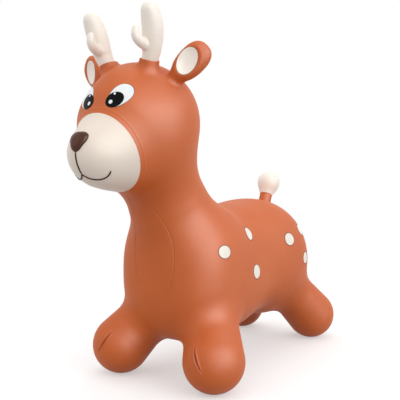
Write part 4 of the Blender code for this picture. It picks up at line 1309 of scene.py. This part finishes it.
def valve():
    """The valve's flange under the belly and the plug in it."""
    axis = unit(joint("plug_pull")["axis"])
    place = seat(plain_skin, np.array([(0, *BARREL[1:])]) + BARREL_HALF[2] * axis, axis)[0]
    bore = PLUG_STEM_RADIUS + PLUG_GAP
    flange = [
        (FLANGE_RADIUS * POLE_SHARE, -VALVE_ROOT),
        (FLANGE_RADIUS, -VALVE_ROOT),
        *rounded(FLANGE_RADIUS, -SUNK, FLANGE_HEIGHT),
        (bore, FLANGE_HEIGHT),
        (bore, FLANGE_HEIGHT - PLUG_STEM_LENGTH),
        (FLANGE_RADIUS * POLE_SHARE, FLANGE_HEIGHT - PLUG_STEM_LENGTH),
    ]
    points, faces = turned(place, axis, flange)
    made = piece("valve_flange", points, faces, VALVE_FINISH, "valve_plastic", ("valve_seat",))
    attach(made, "torso")
    base = FLANGE_HEIGHT + PLUG_GAP / 2
    foot = base - PLUG_STEM_LENGTH + 2 * PLUG_GAP
    plug = [
        (PLUG_STEM_RADIUS * POLE_SHARE, foot),
        (PLUG_STEM_RADIUS - PLUG_CHAMFER[0], foot),
        (PLUG_STEM_RADIUS, foot + PLUG_CHAMFER[1]),
        (PLUG_STEM_RADIUS, base),
        *rounded(PLUG_RADIUS, base, base + PLUG_HEIGHT),
        (PLUG_RADIUS * POLE_SHARE, base + PLUG_HEIGHT),
    ]
    points, faces = turned(place, axis, plug)
    made = piece("air_plug_cap", points, faces, VALVE_FINISH, "valve_plastic", ("air_plug",))
    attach(made, "air_plug")


def grey(tone):
    """A grey of this linear value."""
    return (tone, tone, tone, 1)


def floor_material():
    """A floor that is white where it is lit and keeps the shadow, and plain white far away.

    Rays that light the toy find a duller floor, so that its underside stays in shade.
    """
    material = bpy.data.materials.new("pale_floor")
    nodes = Nodes(material)
    nodes.tree.nodes.remove(nodes.tree.nodes["Principled BSDF"])
    away = nodes.node("ShaderNodeVectorMath", {"operation": "LENGTH"}, nodes.place())
    far = Level(nodes, away.outputs["Value"]).step(FLOOR_NEAR, FLOOR_FAR)
    lit = nodes.node("ShaderNodeBsdfDiffuse", None, Color=grey(FLOOR_TONE))
    dull = nodes.node("ShaderNodeBsdfDiffuse", None, Color=grey(BOUNCE_TONE))
    glow = nodes.node("ShaderNodeEmission", None, Color=PLAIN_WHITE, Strength=FLOOR_GLOW)
    white = nodes.node("ShaderNodeEmission", None, Color=PLAIN_WHITE, Strength=1.0)
    near = nodes.node("ShaderNodeAddShader", None, lit.outputs[0], glow.outputs[0])
    shown = nodes.mixed_shaders(far, near, white)
    floor = nodes.mixed_shaders(nodes.background_share(), dull, shown)
    nodes.put(nodes.tree.nodes["Material Output"].inputs["Surface"], floor.outputs[0])
    return material


def stage():
    """The floor, and the pale room around it."""
    corners = FLOOR_HALF * np.array(((-1, -1, 0), (1, -1, 0), (1, 1, 0), (-1, 1, 0)))
    mesh = mesh_of("floor", corners, [[0, 1, 2, 3]])
    mesh.materials.append(floor_material())
    floor = bpy.data.objects.new("floor", mesh)
    bpy.context.scene.collection.objects.link(floor)
    floor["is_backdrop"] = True
    world = bpy.data.worlds.new("pale_room")
    bpy.context.scene.world = world
    nodes = Nodes(world)
    nodes.tree.nodes.remove(nodes.tree.nodes["Background"])
    light = nodes.node("ShaderNodeBackground", None, Color=PLAIN_WHITE, Strength=WORLD_LIGHT)
    white = nodes.node("ShaderNodeBackground", None, Color=PLAIN_WHITE, Strength=1.0)
    room = nodes.mixed_shaders(nodes.background_share(), light, white)
    nodes.put(nodes.tree.nodes["World Output"].inputs["Surface"], room.outputs[0])


def lamp(name, place, target, size, watts, on_matt):
    """A square soft light that faces a point. One that isn't on matt surfaces shows in gloss only."""
    data = bpy.data.lights.new(name, "AREA")
    data.shape = "SQUARE"
    data.size = size
    data.energy = watts
    obj = bpy.data.objects.new(name, data)
    way = np.subtract(target, place)
    level = math.hypot(way[0], way[1])
    obj.location = place
    obj.rotation_euler = (math.atan2(level, -way[2]), 0, math.atan2(-way[0], way[1]))
    obj.visible_diffuse = on_matt
    bpy.context.scene.collection.objects.link(obj)


def camera():
    """The photograph's viewpoint: no shift, the horizon a little above the middle."""
    data = bpy.data.cameras.new("camera")
    data.sensor_width = SENSOR_WIDTH
    data.lens = SENSOR_WIDTH * FOCAL_PIXELS / PICTURE_SIDE
    obj = bpy.data.objects.new("camera", data)
    pitch = math.atan2(PICTURE_SIDE / 2 - HORIZON_PIXEL, FOCAL_PIXELS)
    obj.location = CAMERA_PLACE
    obj.rotation_euler = (math.pi / 2 - pitch, 0, CAMERA_AZIMUTH)
    bpy.context.scene.collection.objects.link(obj)
    bpy.context.scene.camera = obj


camera()
stage()
for settings in LAMPS:
    lamp(*settings)
skins()
collars()
antlers()
ears()
tail()
spots()
eyes()
mouth(nose())
valve()
bpy.context.scene.view_settings.view_transform = "Standard"

boxes = {"cad": cad_box, "visual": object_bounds()}
{name: [list(corner) for corner in box] for name, box in boxes.items()}
